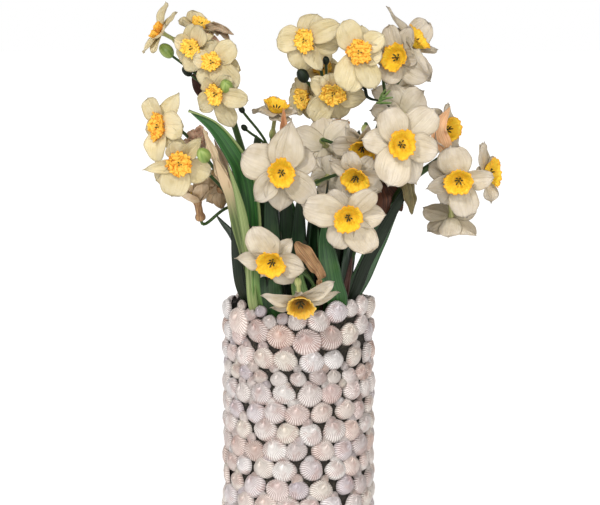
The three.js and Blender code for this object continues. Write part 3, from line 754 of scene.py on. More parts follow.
def makeSoil():
    rng = random.Random(5)
    bm = bmesh.new()
    s = soil
    top = [(s["radius"] * (1 - i / s["rings"]), mix(s["edge"], s["crown"], smoothStep(0, 1, i / s["rings"])))
           for i in range(s["rings"] + 1)]
    addTurned(bm, [(0, s["foot"]), (s["radius"], s["foot"])] + top, s["sides"])
    for vert in bm.verts:
        if vert.co.z > s["edge"] - 1 and vert.co.xy.length < s["radius"] - 0.5:
            vert.co.z += lumpsAt(vert.co, s["lumps"])
    for _ in range(s["crumbs"]):
        angle, reach = rng.uniform(0, 2 * math.pi), s["radius"] * math.sqrt(rng.random()) * s["crumbReach"]
        size = rng.uniform(*s["crumbSize"])
        level = mix(s["crown"], s["edge"], (reach / s["radius"]) ** 2) + size * 0.3
        crumb = bmesh.ops.create_icosphere(bm, subdivisions=1, radius=size)["verts"]
        bmesh.ops.scale(bm, vec=(1, rng.uniform(0.6, 1), rng.uniform(0.5, 0.9)), verts=crumb)
        bmesh.ops.rotate(bm, matrix=Matrix.Rotation(rng.uniform(0, 6), 3, "Z"), verts=crumb)
        bmesh.ops.translate(bm, vec=(reach * math.cos(angle), reach * math.sin(angle), level), verts=crumb)
    finishPiece("potting_mix", bm, "soil", ["potting_soil"])


def makeBulbs():
    for name in bulb["nodes"]:
        low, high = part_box(name)
        x, y = round((low.x + high.x) / 2 / mm), round((low.y + high.y) / 2 / mm)
        bm = bmesh.new()

        def radiusAt(height):
            for (r0, h0), (r1, h1) in zip(bulb["swell"], bulb["swell"][1:]):
                if height <= h1:
                    return mix(r0, r1, smoothStep(h0, h1, height))

        def place(u, v):
            angle = 2 * math.pi * u
            ridge = 1
            for share, count, winding in bulb["ridges"]:
                ridge += share * math.cos(count * angle + winding * v)
            radius = radiusAt(bulb["rise"] * v) * ridge
            return Vector((x + radius * math.cos(angle), y + radius * math.sin(angle),
                           bulb["foot"] + bulb["rise"] * v))

        addSurface(bm, bulb["sides"], bulb["rows"], place)
        finishPiece(name + "_tunic", bm, "bulb", [name])


makeSoil()
makeBulbs()
print("soil and bulbs")


# Leaves and sheaths

rootLevel = 190.3        # where stalks and leaves leave a bulb's neck
rootRise = 8             # the straight first stretch of all that rises from a bulb


def risingLine(line):
    x, y = line[0]
    return [(x, y, rootLevel), (x, y, rootLevel + rootRise)] + list(line[1:])


# What a blade is like where its own row doesn't say otherwise. Bare, grown and shoulder are how far
# up it starts to widen, has its width and starts to narrow again. A low point makes a blunt tip.
bladeShape = {"bare": 0, "grown": 0.35, "shoulder": 0.45, "point": 0.6, "wave": 0.4, "roll": 0.0,
              "across": 12, "along": 44, "seed": 1}
bladeWalls = {"leaf": 1.1, "thinLeaf": 0.9, "sheath": 0.35, "scrap": 0.4}
lineSteps = 8            # for each span between two knots of a line


# A blade along a line. Its face turns from one azimuth to the other on its way up.
def addBlade(bm, knots, own):
    blade = {**bladeShape, **own}
    line = smoothLine(knots, lineSteps)
    rng = random.Random(blade["seed"])
    phase = rng.uniform(0, 6)

    def place(u, v):
        s = 2 * u - 1
        t = v * (1.25 - 0.25 * v)
        way = wayAlong(line, t)
        faceAt = facingVector(mix(blade["face"][0], blade["face"][1], t))
        across = faceAt.cross(way).normalized()
        normal = way.cross(across).normalized()
        grow = smoothStep(blade["bare"], blade["grown"], t)
        fall = max(0.0, (t - blade["shoulder"]) / (1 - blade["shoulder"]))
        taper = max(0.0, 1 - fall ** 2.2) ** blade["point"]
        wide = mix(blade["foot"], blade["width"], grow) * taper
        channel = blade["channel"] * (s * s - 0.35) * taper
        wave = blade["wave"] * abs(s) ** 2 * math.sin(7 * t * math.pi + phase + 1.3 * s)
        roll = blade["roll"] * smoothStep(0.55, 1, -s) * smoothStep(0.1, 0.4, t)
        shift = across * (s * wide / 2 + roll * 0.6) + normal * (-channel + wave * taper + roll)
        return pointAlong(line, t) + shift

    addSurface(bm, blade["across"], blade["along"], place, rng.random())


# The leaves of the CAD model, each on its own line up from a bulb's neck
leaves = {
    "leaf_big_left": {
        "line": [(-27, -17), (-33, -24, 248), (-35, -30, 282), (-40, -32, 307), (-50, -34, 325),
                 (-62, -36, 340), (-79, -38, 351)],
        "width": 16, "face": (-10, 15), "channel": -2.2, "point": 0.8, "roll": 2.4, "material": "bigLeaf"},
    "leaf_front_left": {
        "line": [(-24, -26), (-38, -33, 244), (-46, -40, 279), (-53, -42, 300), (-60, -42, 316)],
        "width": 10, "face": (-20, -30), "channel": -1.5, "wave": 1.2, "material": "dyingLeaf"},
    "leaf_outer_left": {
        "line": [(-28, 23), (-42, 28, 235), (-52, 26, 256), (-62, 22, 268)],
        "width": 12, "face": (-60, -60), "channel": -1.6, "material": "darkLeaf"},
    "leaf_centre_left": {
        "line": [(-13, -24), (-18, -18, 230), (-22, -14, 256), (-25, -12, 278)],
        "width": 12, "face": (0, 10), "channel": -1.8, "material": "leaf"},
    "leaf_centre": {
        "line": [(14, -14), (3, -16, 225), (0, -12, 243), (-3, -8, 263), (-6, -5, 283)],
        "width": 12, "face": (10, 0), "channel": -1.6, "material": "leaf"},
    "leaf_centre_right": {
        "line": [(23, -26), (24, -36, 224), (20, -36, 244), (18, -33, 262), (18, -28, 282)],
        "width": 11, "face": (10, -10), "channel": -1.6, "material": "leaf"},
    "leaf_right": {
        "line": [(30, -18), (47, -12, 228), (57, -8, 250), (67, -6, 271), (76, -6, 286)],
        "width": 15, "face": (30, 20), "channel": -2.0, "material": "leaf"},
    "leaf_back_right": {
        "line": [(17, 28), (28, 36, 225), (36, 46, 263), (41, 52, 301), (47, 55, 332)],
        "width": 17, "face": (170, 160), "channel": -2.0, "material": "darkLeaf"},
    "leaf_back_left": {
        "line": [(-16, 27), (-18, 33, 225), (-25, 43, 263), (-29, 50, 301), (-33, 55, 328)],
        "width": 17, "face": (190, 200), "channel": -2.0, "material": "darkLeaf"},
}

# Each sheath springs from the umbel of a flower stalk.
sheaths = {
    "sheath_peach": {
        "scape": "scape_right", "line": [(108, -6, 322), (103, -13, 336), (111, -18, 353)],
        "foot": 3, "width": 13, "grown": 0.5, "face": (-10, 10), "material": "peachSheath", "point": 1.1},
    "sheath_orange": {
        "scape": "scape_centre_left", "line": [(-13, -5, 325), (-11, -24, 339), (-11, -31, 352)],
        "width": 6, "face": (0, 10), "material": "orangeSheath", "point": 0.9},
    "sheath_tan": {
        "scape": "scape_left", "line": [(-42, -3, 287), (-52, -16, 306), (-62, -18, 329)],
        "width": 10, "face": (-20, -40), "material": "tanSheath", "point": 0.9},
    "sheath_dark_red": {
        "scape": "scape_top_left", "line": [(-57, 20, 350), (-66, 21, 360), (-78, 20, 378)],
        "foot": 2, "width": 18, "bare": 0.4, "grown": 0.7, "face": (-10, -30), "material": "darkSheath",
        "point": 0.45, "shoulder": 0.7},
    "sheath_red_brown": {
        "scape": "scape_right_centre", "line": [(60, -8, 290), (62, -15, 281), (60, -17, 268)],
        "width": 13, "face": (15, 5), "material": "redSheath", "point": 0.7},
    "sheath_curled": {
        "scape": "scape_low", "line": [(16, -50, 232), (9, -55, 244), (-2, -58, 258)],
        "foot": 2.5, "width": 11, "grown": 0.8, "face": (25, -20), "material": "curledSheath", "point": 0.4,
        "shoulder": 0.75, "wave": 3.0},
}

# The flower stalks, with the flowers, the buds and the empty pods that each carries
scapes = {
    "scape_top_left": {
        "line": [(-17, 13), (-29, 20, 250), (-38, 25, 300), (-50, 17, 343)],
        "carries": ["frilled_01", "frilled_02", "frilled_03", "frilled_04", "frilled_05"],
        "buds": [((-98, 4, 393), 4.8), ((-52, -38, 368), 4.8)],
        "pods": [((-83, 6, 378), 3.4)]},
    "scape_left": {
        "line": [(-27, 15), (-37, 14, 228), (-44, 8, 254), (-48, 2, 276)],
        "carries": ["frilled_06", "frilled_07", "frilled_08", "frilled_09", "dried"],
        "buds": [((-68, -47, 319), 5)]},
    "scape_centre_left": {
        "line": [(-18, -11), (-19, -8, 240), (-21, -2, 285), (-21, 2, 317)],
        "carries": ["smooth_01", "smooth_15"],
        "pods": [((-42, -8, 350), 2.2), ((-40, -13, 337), 2.2)]},
    "scape_top_centre": {
        "line": [(13, 14), (16, 18, 240), (19, 18, 300), (22, 15, 343)],
        "carries": ["frilled_10", "frilled_11", "frilled_12", "frilled_13", "frilled_14"],
        "pods": [((3, -8, 375), 4.4), ((20, -8, 386), 2.6)]},
    "scape_top_right": {
        "line": [(20, 22), (36, 24, 250), (52, 18, 310), (65, 10, 351)],
        "carries": ["smooth_06", "smooth_07", "smooth_08", "smooth_17"]},
    "scape_right_centre": {
        "line": [(24, -11), (36, -6, 230), (47, -2, 266), (56, 0, 297)],
        "carries": ["smooth_02", "smooth_03", "smooth_04", "smooth_05", "smooth_16", "smooth_18"]},
    "scape_right": {
        "line": [(28, 15), (49, 4, 236), (61, -2, 262), (76, 0, 290), (110, 6, 316)],
        "carries": ["smooth_09", "smooth_10", "smooth_11", "smooth_12"]},
    "scape_low": {
        "line": [(12, -24), (13, -38, 213), (12, -46, 222)],
        "carries": ["smooth_13", "smooth_14"]},
}
# Radii of the stalk, of its side stalks (pedicels) and of the umbel that they spring from, how far
# from its middle a sheath starts, and how long a stretch of a side stalk runs straight into its flower
stalk = {"foot": 2.9, "head": 2.4, "pedicel": 1.25, "budPedicel": 1.0, "umbel": 3.6, "sheathSeat": 3.9,
         "arrival": 12, "sides": 14, "pedicelSides": 8, "pedicelPoints": 13}


# Blades that fill the bunch out between the others: younger, older and withered leaves, and loose
# scraps of sheath. Each has its line, width, the azimuths its face turns through, and its material.
fillers = {
    "pale_left": ([(-28, -26, 192), (-33, -46, 212), (-35, -46, 243), (-38, -46, 264), (-43, -46, 288),
                   (-51, -45, 312)], 8, (-15, -35), "oliveLeaf"),
    "dark_left": ([(-27, -18, 192), (-42, -34, 222), (-45, -28, 252), (-46, -25, 274), (-44, -20, 296)],
                  9, (-30, -40), "shadeLeaf"),
    "bright_low": ([(-24, -34, 192), (-30, -48, 218), (-31, -52, 235), (-31, -50, 252)],
                   6, (-10, -20), "brightLeaf"),
    "dark_low": ([(-20, -26, 192), (-27, -30, 211), (-31, -24, 259), (-33, -20, 292)],
                 13, (0, -10), "shadeLeaf"),
    "broad_low": ([(-12, -30, 192), (-20, -36, 206), (-22, -34, 224), (-20, -30, 250)], 19, (0, 10), "leaf"),
    "young_middle": ([(2, -30, 192), (3, -42, 208), (0, -42, 224), (-2, -40, 242)],
                     12, (5, -5), "brightLeaf"),
    "young_front": ([(5, -34, 192), (4, -50, 203), (3, -57, 211)], 10, (0, 10), "brightLeaf"),
    "broad_right": ([(18, -32, 192), (28, -42, 210), (24, -46, 229), (20, -46, 252), (18, -44, 270)],
                    15, (10, 0), "leaf"),
    "dark_right": ([(26, -22, 192), (40, -22, 214), (50, -20, 238), (62, -20, 262), (76, -20, 288),
                    (86, -18, 306)], 9, (30, 20), "shadeLeaf"),
    "dark_middle": ([(8, -6, 192), (16, 0, 240), (24, 4, 290), (29, 6, 324)], 20, (0, 0), "shadeLeaf"),
    "tuft_1": ([(58, -33, 357), (62, -34, 359), (68, -35, 360)], 0.9, (0, 0), "brightLeaf"),
    "tuft_2": ([(58, -33, 357), (62, -34, 361), (66, -35, 365)], 0.9, (0, 0), "brightLeaf"),
    "tuft_3": ([(58, -33, 357), (60, -34, 362), (63, -35, 366)], 0.9, (0, 0), "brightLeaf"),
    "tuft_4": ([(56, -33, 356), (62, -34, 356), (67, -35, 356)], 0.9, (0, 0), "brightLeaf"),
    "olive_scrap": ([(60, -6, 300), (76, -20, 300), (81, -25, 288), (83, -26, 274)],
                    11, (10, 25), "oliveSheath"),
    "straw_scrap_1": ([(-72, 14, 408), (-62, 8, 411), (-48, 5, 405)], 6, (-10, 20), "tanSheath"),
    "straw_scrap_2": ([(-72, 14, 407), (-60, 12, 408), (-50, 10, 399)], 5, (0, 30), "tanSheath"),
    "straw_scrap_3": ([(-72, 14, 406), (-64, 14, 402), (-56, 12, 394)], 5, (0, 20), "driedFlower"),
    "purple_right": ([(30, -24, 192), (32, -30, 207), (35, -32, 223), (39, -32, 244)],
                     5, (10, 10), "purpleStalk"),
    "purple_middle": ([(14, -24, 192), (17, -30, 219), (16, -32, 256), (17, -32, 284)],
                      5, (0, 0), "purpleStalk"),
    "brown_scrap": ([(4, -2, 316), (14, -4, 328), (26, -4, 335), (38, -4, 341)], 18, (0, 10), "brownSheath"),
    "wiry_stem": ([(26, 8, 350), (37, -26, 372), (41, -29, 366), (47, -31, 367), (50, -31, 360),
                   (60, -29, 357)], 1.8, (0, 0), "shadeLeaf"),
    "papery_strip": ([(-47, -20, 284), (-51, -38, 296), (-57, -40, 310), (-63, -39, 324), (-69, -36, 338)],
                     8, (-45, -20), "paleSheath"),
    "maroon_scrap": ([(50, 2, 300), (60, 0, 296), (70, -2, 288), (77, -2, 274)], 17, (10, 20), "redSheath"),
    "petal_fold": ([(75, -10, 403), (81, -46, 396), (86, -52, 387), (92, -54, 377)],
                   8, (50, 30), "smoothPetals"),
}
# Older leaves crowd the middle of the pot, and their near-black greens are painted shade that makes it dark.
# Ring is how far out their feet are, and spread how far out their tips lean for their height.
backdrop = {"perHalf": 22, "ring": (14, 37), "root": 190, "height": (62, 112), "spread": 0.35, "foot": 7,
            "width": (8, 14), "channel": -1.6, "across": 8}


def makeFillers():
    for name, (line, width, face, material) in fillers.items():
        bm = bmesh.new()
        scrap = "scrap" in name or "strip" in name
        petal = "petal" in name
        addBlade(bm, line, {"foot": 0.6 * width, "width": width, "face": face, "channel": -1.8,
                            "wave": 1.8 if scrap else 0.5, "point": 0.8, "seed": len(name)})
        wall = bladeWalls["scrap" if scrap or petal else "thinLeaf"]
        finishPiece("filler_" + name, bm, material, [], wall=wall, closed=False)


def makeBackdrop():
    b = backdrop
    rng = random.Random(41)
    for half, material in enumerate(["shadeLeaf", "darkLeaf"]):
        bm = bmesh.new()
        for i in range(b["perHalf"]):
            angle = 2 * math.pi * (i + 0.5 * half + rng.uniform(-0.3, 0.3)) / b["perHalf"]
            ring = rng.uniform(*b["ring"])
            foot = Vector((ring * math.cos(angle), ring * math.sin(angle), b["root"]))
            height = rng.uniform(*b["height"])
            out = Vector((math.cos(angle), math.sin(angle), 0)) * height * b["spread"] * rng.uniform(0.1, 0.7)
            middle = foot + 0.25 * out + Vector((0, 0, 0.4 * height))
            face = math.degrees(angle) + 90 + rng.uniform(-40, 40)
            addBlade(bm, [foot, middle, foot + out + Vector((0, 0, height))],
                     {"foot": b["foot"], "width": rng.uniform(*b["width"]), "face": (face, face + 20),
                      "channel": b["channel"], "across": b["across"], "seed": 60 + i})
        finishPiece(f"crowded_leaves_{half + 1}", bm, material, [], wall=bladeWalls["thinLeaf"],
                    closed=False)


def makeLeaves():
    for name, leaf in leaves.items():
        bm = bmesh.new()
        addBlade(bm, risingLine(leaf["line"]), {"foot": 9, **leaf})
        finishPiece(name + "_blade", bm, leaf["material"], [name], wall=bladeWalls["leaf"],
                    closed=False)


def makeSheaths():
    for name, sheath in sheaths.items():
        bm = bmesh.new()
        umbel = Vector(scapes[sheath["scape"]]["line"][-1])
        away = (Vector(sheath["line"][0]) - umbel).normalized()
        knots = [umbel + away * stalk["sheathSeat"]] + [Vector(p) for p in sheath["line"]]
        addBlade(bm, knots, {"foot": 0.6 * sheath["width"], "channel": -2.5, "wave": 0.9, **sheath})
        finishPiece(name + "_paper", bm, sheath["material"], [name], wall=bladeWalls["sheath"],
                    closed=False)


makeLeaves()
makeSheaths()
makeFillers()
makeBackdrop()
print("leaves and sheaths")


# Flowers

# The frilled kind has a short crumpled crown, and the smooth kind a pleated cup. A petal's width is a
# share of its length, and its tip ends in a small horn.
flowerKinds = {
    "frilled": {"cupRadius": 9, "cupHeight": 5.5, "cupWall": 0.5, "tube": 11, "ovary": 6, "width": 0.92,
                "point": 0.5, "wave": 1.2, "horn": 0.5},
    "smooth": {"cupRadius": 10, "cupHeight": 9, "cupWall": 0.5, "tube": 14, "ovary": 8, "width": 0.82,
               "point": 0.62, "wave": 1.7, "horn": 1.6},
}
# Each flower: the centre of its petals, the way it faces (azimuth, elevation and roll), the petals'
# reach, and how far their tips lean forward.
flowers = {
    "frilled_01": [(-102, 0, 407), (-72, 28, 0), 21.5, 2],
    "frilled_02": [(-77, -14, 396), (-30, -12, 0), 20, -1],
    "frilled_03": [(-74, 16, 411), (30, 60, 0), 17, 1],
    "frilled_04": [(-62, -24, 385), (-20, 6, 0), 19.5, 0],
    "frilled_05": [(-59, -34, 363), (-25, -16, 0), 21, 0],
    "frilled_06": [(-102, -14, 338), (-32, 3, 0), 24, 3],
    "frilled_07": [(-86, -36, 313), (0, -12, 0), 22, 2],
    "frilled_08": [(-75, -14, 284), (-30, 72, 0), 11, 14],
    "frilled_09": [(-59, 8, 290), (-150, -5, 0), 15, 3],
    "frilled_10": [(5, -12, 401), (-15, -8, 0), 24, 0],
    "frilled_11": [(5, 10, 358), (-50, -10, 0), 17, 2],
    "frilled_12": [(25, -14, 363), (0, -24, 0), 22, 0],
    "frilled_13": [(43, -42, 392), (5, 4, 0), 23, 0],
    "frilled_14": [(18, 25, 379), (-5, 25, 0), 15, 2],
    "smooth_01": [(-12, -60, 308), (0, -3, 0), 29, 2],
    "smooth_02": [(72, -67, 328), (4, 2, 0), 29, 0],
    "smooth_03": [(46, -44, 326), (-8, -38, 0), 21, 1],
    "smooth_04": [(41, -52, 305), (-8, -26, 0), 21, 3],
    "smooth_05": [(35, -82, 279), (-4, -12, 0), 28, 1],
    "smooth_06": [(72, -32, 388), (-28, 4, 0), 25, 2],
    "smooth_07": [(83, -6, 398), (62, 36, 0), 25, 2],
    "smooth_08": [(78, 28, 353), (160, 15, 0), 24, -2],
    "smooth_09": [(116, -38, 301), (-8, -12, 0), 26, 0],
    "smooth_10": [(138, -12, 304), (60, 6, 0), 21, 1],
    "smooth_11": [(113, -12, 271), (170, -48, 0), 22, 4],
    "smooth_12": [(109, 3, 335), (46, 6, 10), 19, 1],
    "smooth_13": [(-18, -72, 246), (-12, -14, 0), 24.5, 1],
    "smooth_14": [(1, -91, 221), (6, -36, 0), 25, 0],
    "smooth_15": [(-17, -8, 348), (20, 66, 0), 18, 2],
    "smooth_16": [(20, -14, 324), (172, -14, 15), 26, -1],
    "smooth_17": [(76, -28, 348), (158, 12, 25), 23, -1],
    "smooth_18": [(22, -24, 302), (150, 10, 40), 19, 1],
}
# The petals of the flowers that show their faces, one after the other round the cup, the first of
# each two in front: degrees clockwise from the top, length, width, how pointed, the tip's lean
# forward, and how its sides turn up.
petalRows = {
    "frilled_01": [(330, 27, 13, 0.7, 3, 1), (30, 20, 13, 0.6, 1, 1), (95, 17, 13, 0.5, 0, 1),
                   (160, 19, 14, 0.5, 2, 1), (205, 21, 14, 0.5, 1, 1), (270, 18, 12, 0.5, 3, 1)],
    "frilled_02": [(43, 20, 14, 0.5, 1, 0.6), (350, 17, 13, 0.6, -1, 1), (300, 15, 13, 0.5, 2, 0.6),
                   (236, 19, 14, 0.5, 0, 1.4), (180, 18, 17, 0.45, 1, 0.6), (100, 22, 11, 0.6, -2, 1.6)],
    "frilled_04": [(56, 22, 17, 0.4, 1, 0.8), (350, 17, 14, 0.5, -1, 1), (285, 15, 13, 0.5, 1, 1),
                   (205, 19, 15, 0.5, 0, 0.6), (140, 29, 20, 0.45, 2, 0.5), (100, 21, 14, 0.5, -1, 1)],
    "frilled_05": [(103, 26, 14, 0.45, 1, 1.2), (45, 16, 12, 0.5, 0, 1), (340, 14, 12, 0.7, 3, 2.4),
                   (290, 14, 12, 0.5, -1, 1), (236, 19, 14, 0.5, 1, 0.6), (160, 28, 15, 0.5, -1, 1.8)],
    "frilled_06": [(337, 23, 16, 0.35, 1, 1.2), (28, 29, 17, 1.05, -1, 0.8), (82, 24, 20, 0.35, 2, 0.6),
                   (128, 29, 15, 0.8, -1, 1.6), (188, 26, 19, 0.4, 1, 0.8), (262, 13, 12, 0.5, 2, 1)],
    "frilled_07": [(39, 26, 11, 1.0, 3, 2), (345, 16, 14, 0.5, 0, 1), (257, 28, 10, 1.2, -3, 1.8),
                   (235, 23, 16, 0.45, 0, 0.8), (192, 25, 21, 0.35, 2, 0.5), (116, 24, 18, 0.4, 3, 2.0)],
    "frilled_08": [(0, 16, 13, 0.5, 13, 1.6), (60, 15, 12, 0.5, 12, 1.6), (120, 16, 13, 0.4, 14, 1.6),
                   (180, 15, 13, 0.5, 15, 1.8), (240, 16, 13, 0.5, 14, 1.6), (300, 15, 12, 0.5, 13, 1.6)],
    "frilled_10": [(280, 21, 19, 0.35, 1, 0.8), (19, 20, 18, 0.4, -1, 0.6), (62, 29, 16, 0.5, 1, 1.4),
                   (96, 25, 18, 0.45, -1, 0.8), (156, 25, 13, 0.6, 1, 2.2), (200, 23, 20, 0.4, 2, 1.4)],
    "frilled_12": [(218, 26, 19, 0.4, 2, 0.8), (166, 24, 18, 0.45, 0, 0.8), (101, 25, 18, 0.6, 2, 0.6),
                   (50, 20, 15, 0.5, -1, 1), (355, 16, 15, 0.5, 0, 1), (297, 19, 14, 0.6, 2, 2.2)],
    "frilled_13": [(328, 25, 19, 0.4, 1, 0.8), (10, 20, 15, 0.5, -2, 1), (50, 22, 15, 0.5, -1, 1),
                   (100, 17, 15, 0.5, 4, 2.6), (158, 28, 16, 0.4, -1, 1), (204, 29, 22, 0.32, 2, 0.8)],
    "smooth_01": [(12, 39, 25, 1.35, 2, 1.4), (52, 26, 21, 0.4, -1, 0.8), (126, 32, 20, 0.6, 2, 0.8),
                  (186, 29, 21, 0.75, 0, 1.2), (231, 28, 17, 0.6, -2, 1), (296, 31, 26, 0.4, 2, 0.8)],
    "smooth_02": [(338, 28, 22, 0.4, 1, 0.6), (38, 34, 22, 0.3, -1, 0.6), (97, 27, 20, 0.5, 1, 1.8),
                  (151, 30, 18, 0.55, -1, 0.8), (203, 30, 25, 0.32, 2, 0.6), (280, 27, 18, 0.5, -2, 0.8)],
    "smooth_03": [(284, 22, 17, 0.4, 2, 1.2), (328, 20, 10, 0.9, 3, 1.8), (16, 24, 9, 1.2, 4, 2.4),
                  (78, 20, 14, 0.5, 1, 1.4), (130, 18, 13, 0.5, 0, 1), (232, 19, 14, 0.5, 1, 1)],
    "smooth_04": [(200, 18, 13, 0.6, 3, 1.6), (300, 22, 12, 0.7, 2, 2), (350, 20, 14, 0.5, 0, 1),
                  (40, 18, 12, 0.5, 0, 1), (88, 18, 13, 0.6, 2, 1.6), (132, 23, 15, 0.5, -1, 0.8)],
    "smooth_05": [(284, 33, 22, 0.4, 1, 0.8), (322, 22, 15, 0.5, -2, 1), (38, 27, 15, 0.5, 0, 1),
                  (86, 26, 18, 0.75, 2, 1), (153, 31, 20, 0.32, -1, 0.8), (203, 26, 18, 0.4, 2, 1.2)],
    "smooth_06": [(338, 25, 14, 0.45, 1, 1.2), (14, 24, 15, 0.5, -3, 1), (84, 15, 12, 0.5, -3, 0.8),
                  (126, 29, 21, 0.42, 2, 0.6), (205, 20, 18, 0.5, 1, 0.8), (275, 17, 15, 0.5, 3, 1)],
    "smooth_07": [(354, 32, 15, 0.6, -1, 1.6), (182, 31, 15, 0.7, -2, 1.6), (62, 25, 20, 0.4, 10, 0.8),
                  (112, 27, 13, 0.6, 10, 1), (310, 20, 13, 0.5, -5, 1.4), (236, 19, 13, 0.5, -5, 1.4)],
    "smooth_09": [(348, 26, 23, 0.35, 1, 0.8), (297, 24, 16, 0.5, -1, 2.2), (258, 24, 12, 0.7, 1, 1.8),
                  (212, 24, 15, 0.5, -1, 1), (166, 28, 20, 0.35, 2, 0.8), (92, 25, 14, 0.5, 0, 1.8)],
    "smooth_10": [(325, 25, 17, 0.28, 2, 0.6), (15, 23, 11, 1.1, 0, 1.6), (70, 20, 15, 0.5, 0, 1),
                  (125, 20, 15, 0.5, 1, 1), (190, 22, 18, 0.4, 2, 1.4), (255, 20, 15, 0.5, 2, 1)],
    "smooth_13": [(338, 29, 22, 0.5, 0, 1.2), (40, 20, 12, 0.7, -1, 1.6), (98, 24, 16, 0.6, 1, 1.6),
                  (143, 22, 18, 0.45, -1, 1), (215, 14, 13, 0.5, 0, 1), (276, 27, 13, 0.8, 3, 2.8)],
    "smooth_14": [(280, 29, 12, 0.9, 2, 1.8), (330, 6, 8, 0.6, 0, 1), (48, 28, 13, 0.6, -1, 2.0),
                  (82, 28, 11, 1.1, 1, 2.0), (150, 15, 13, 0.5, 1, 1), (240, 22, 10, 0.9, 1, 2.8)],
}
withering = ["frilled_08", "frilled_09"]
# Crowns that aren't round or full grown: their width and height as shares of the kind's
crownShares = {
    "frilled_01": (0.66, 0.66), "frilled_02": (0.86, 0.76), "frilled_03": (0.85, 0.85),
    "frilled_04": (0.84, 0.76), "frilled_05": (0.72, 0.86), "frilled_06": (0.7, 1.16),
    "frilled_10": (0.8, 1.02), "frilled_12": (1.06, 0.9),
}
wiltedCups = ["smooth_14"]
orangeCrowns = ["frilled_01", "frilled_06", "frilled_07", "frilled_09", "frilled_13"]
petalShape = {"claw": 0.45, "widest": (0.58, 0.36), "across": 18, "along": 23, "root": 1.6, "wall": 0.4,
              "broad": 1.1, "lift": 0.9, "fold": 2.2, "crease": 0.6, "ridge": 0.2, "crumple": 1.4,
              "notch": 0.05}


# One petal, along +Y of the flower and then turned to its place.
def addPetal(bm, turn, centre, petal, over, kind, rng):
    angle, length, width, point, lean, cup = petal
    p = petalShape
    seed = rng.uniform(0, 90)
    phases = rng.uniform(0, 6), rng.uniform(0, 6)
    wave = kind["wave"] * rng.uniform(0.5, 1.4)
    bend = rng.gauss(0, 0.06) * length
    roll = rng.gauss(0, 0.13)
    curl = rng.uniform(-0.8, 1.4)
    spread = Matrix.Rotation(-math.radians(angle), 3, "Z")
    layer = p["lift"] if over else -p["lift"]
    widest = mix(*p["widest"], min(1, max(0, point - 0.3)))
    horn = kind["horn"] * rng.uniform(0.2, 1)

    def place(u, v):
        s = 2 * u - 1
        t = v * (1.3 - 0.3 * v)
        grow = mix(p["claw"], 1, math.sin(math.pi / 2 * min(1, t / widest)))
        fall = max(0.0, (t - widest + 0.1) / (1.1 - widest))
        share = grow * max(0.0, 1 - fall ** 2.2) ** point
        # The margin is never quite even, and the tip ends in a small horn.
        share *= 1 + 2 * p["notch"] * noise.noise(Vector((3.5 * t, 2 * round(s), seed)))
        across = s * width * p["broad"] / 2 * share + bend * t * t
        along = p["root"] + (length - p["root"]) * t * (1 - 0.03 * abs(s) ** 2 * t)
        along += horn * math.exp(-(s / 0.3) ** 2) * smoothStep(0.8, 1, t)
        height = layer * (0.7 + 1.6 * t) + lean * t ** 1.6 - curl * t ** 4 + roll * across * t
        height += cup * p["fold"] * (s * s * share * share - 0.2) * (1 - 0.4 * t)
        height += wave * s * s * t * math.sin(2.4 * math.pi * t + phases[0 if s < 0 else 1])
        height -= p["crease"] * math.exp(-(s / 0.15) ** 2) * math.sin(math.pi * t)
        height += p["ridge"] * math.cos(4.5 * math.pi * s + seed) * t
        height += p["crumple"] * t * noise.noise(Vector((across / 6, along / 8, seed)))
        return centre + turn @ (spread @ Vector((across, along, height)))

    addSurface(bm, p["across"], p["along"], place, rng.random())


# The frilled kind's crown: its tissue is folded on itself until it fills the whole ring. The widths
# of its creases and crumples are in millimetres.
crown = {"across": 108, "along": 30, "rimAt": 0.74, "drawnIn": 0.3, "lobe": 0.07, "crease": 2.8,
         "deep": 1.9, "foldShare": 1.9, "grain": 0.5, "grainWidth": 0.9, "sway": 1.5, "swayWidth": 3.2,
         "foot": 0.6}


def addCrown(bm, turn, centre, radius, height, share, rng):
    c = crown
    phases = [rng.uniform(0, 6) for _ in range(3)]
    seed = Vector((rng.uniform(0, 50), rng.uniform(0, 50), 0))

    def shape(u, v):                                  # v is 0 in the middle, 1 where it meets the petals
        a = 2 * math.pi * u
        rise = min(1, v / c["rimAt"])
        fall = max(0, (v - c["rimAt"]) / (1 - c["rimAt"]))
        waves = math.cos(5 * a + phases[0]) + math.cos(17 * a + phases[1]) * (v / c["rimAt"]) ** 3
        r = radius * (rise * (1 + c["lobe"] * waves) - c["drawnIn"] * fall)
        flat = Vector((r * share[0] * math.cos(a), r * share[1] * math.sin(a), 0))
        fold = abs(noise.noise(flat / c["crease"] + seed))
        fold += 0.5 * abs(noise.noise(flat / (0.5 * c["crease"]) + seed))
        ridge = max(0, 1 - c["foldShare"] * fold)     # 1 down between two folds, 0 on top of one
        z = height * (0.5 + 0.5 * rise ** 1.5) - c["deep"] * ridge ** 2 * (0.4 + 0.6 * rise)
        z += c["grain"] * rise * noise.noise(flat / c["grainWidth"] + seed)
        z = mix(z, c["foot"], fall)
        sway = c["sway"] * rise * noise.noise_vector(flat / c["swayWidth"] + seed)
        sway.z *= 0.6
        return flat + Vector((0, 0, max(z, c["foot"]))) + sway, 1 - ridge ** 1.5 * (1 - 0.4 * fall)

    # The tone falls deep between the folds and towards the crown's foot, where the cup tissue paints shade.
    addSurface(bm, c["across"], c["along"], lambda u, v: centre + turn @ shape(u, v)[0],
               lambda u, v: shape(u, v)[1] * (1 - 0.75 * max(0, (v - c["rimAt"]) / (1 - c["rimAt"])) ** 1.4))


# The smooth kind's cup: a round floor, pleated walls and a rim that turns outwards. Its widths and
# waves are shares of its radius.
cup = {"across": 90, "along": 18, "floorAt": 0.2, "floor": 0.46, "wall": 0.88, "flare": 0.12,
       "lobe": 0.035, "oval": 0.08, "pleat": 0.022, "pleats": 18, "frill": 0.03, "seat": 1.3,
       "crumple": 1.3, "crumpleWidth": 3.6}


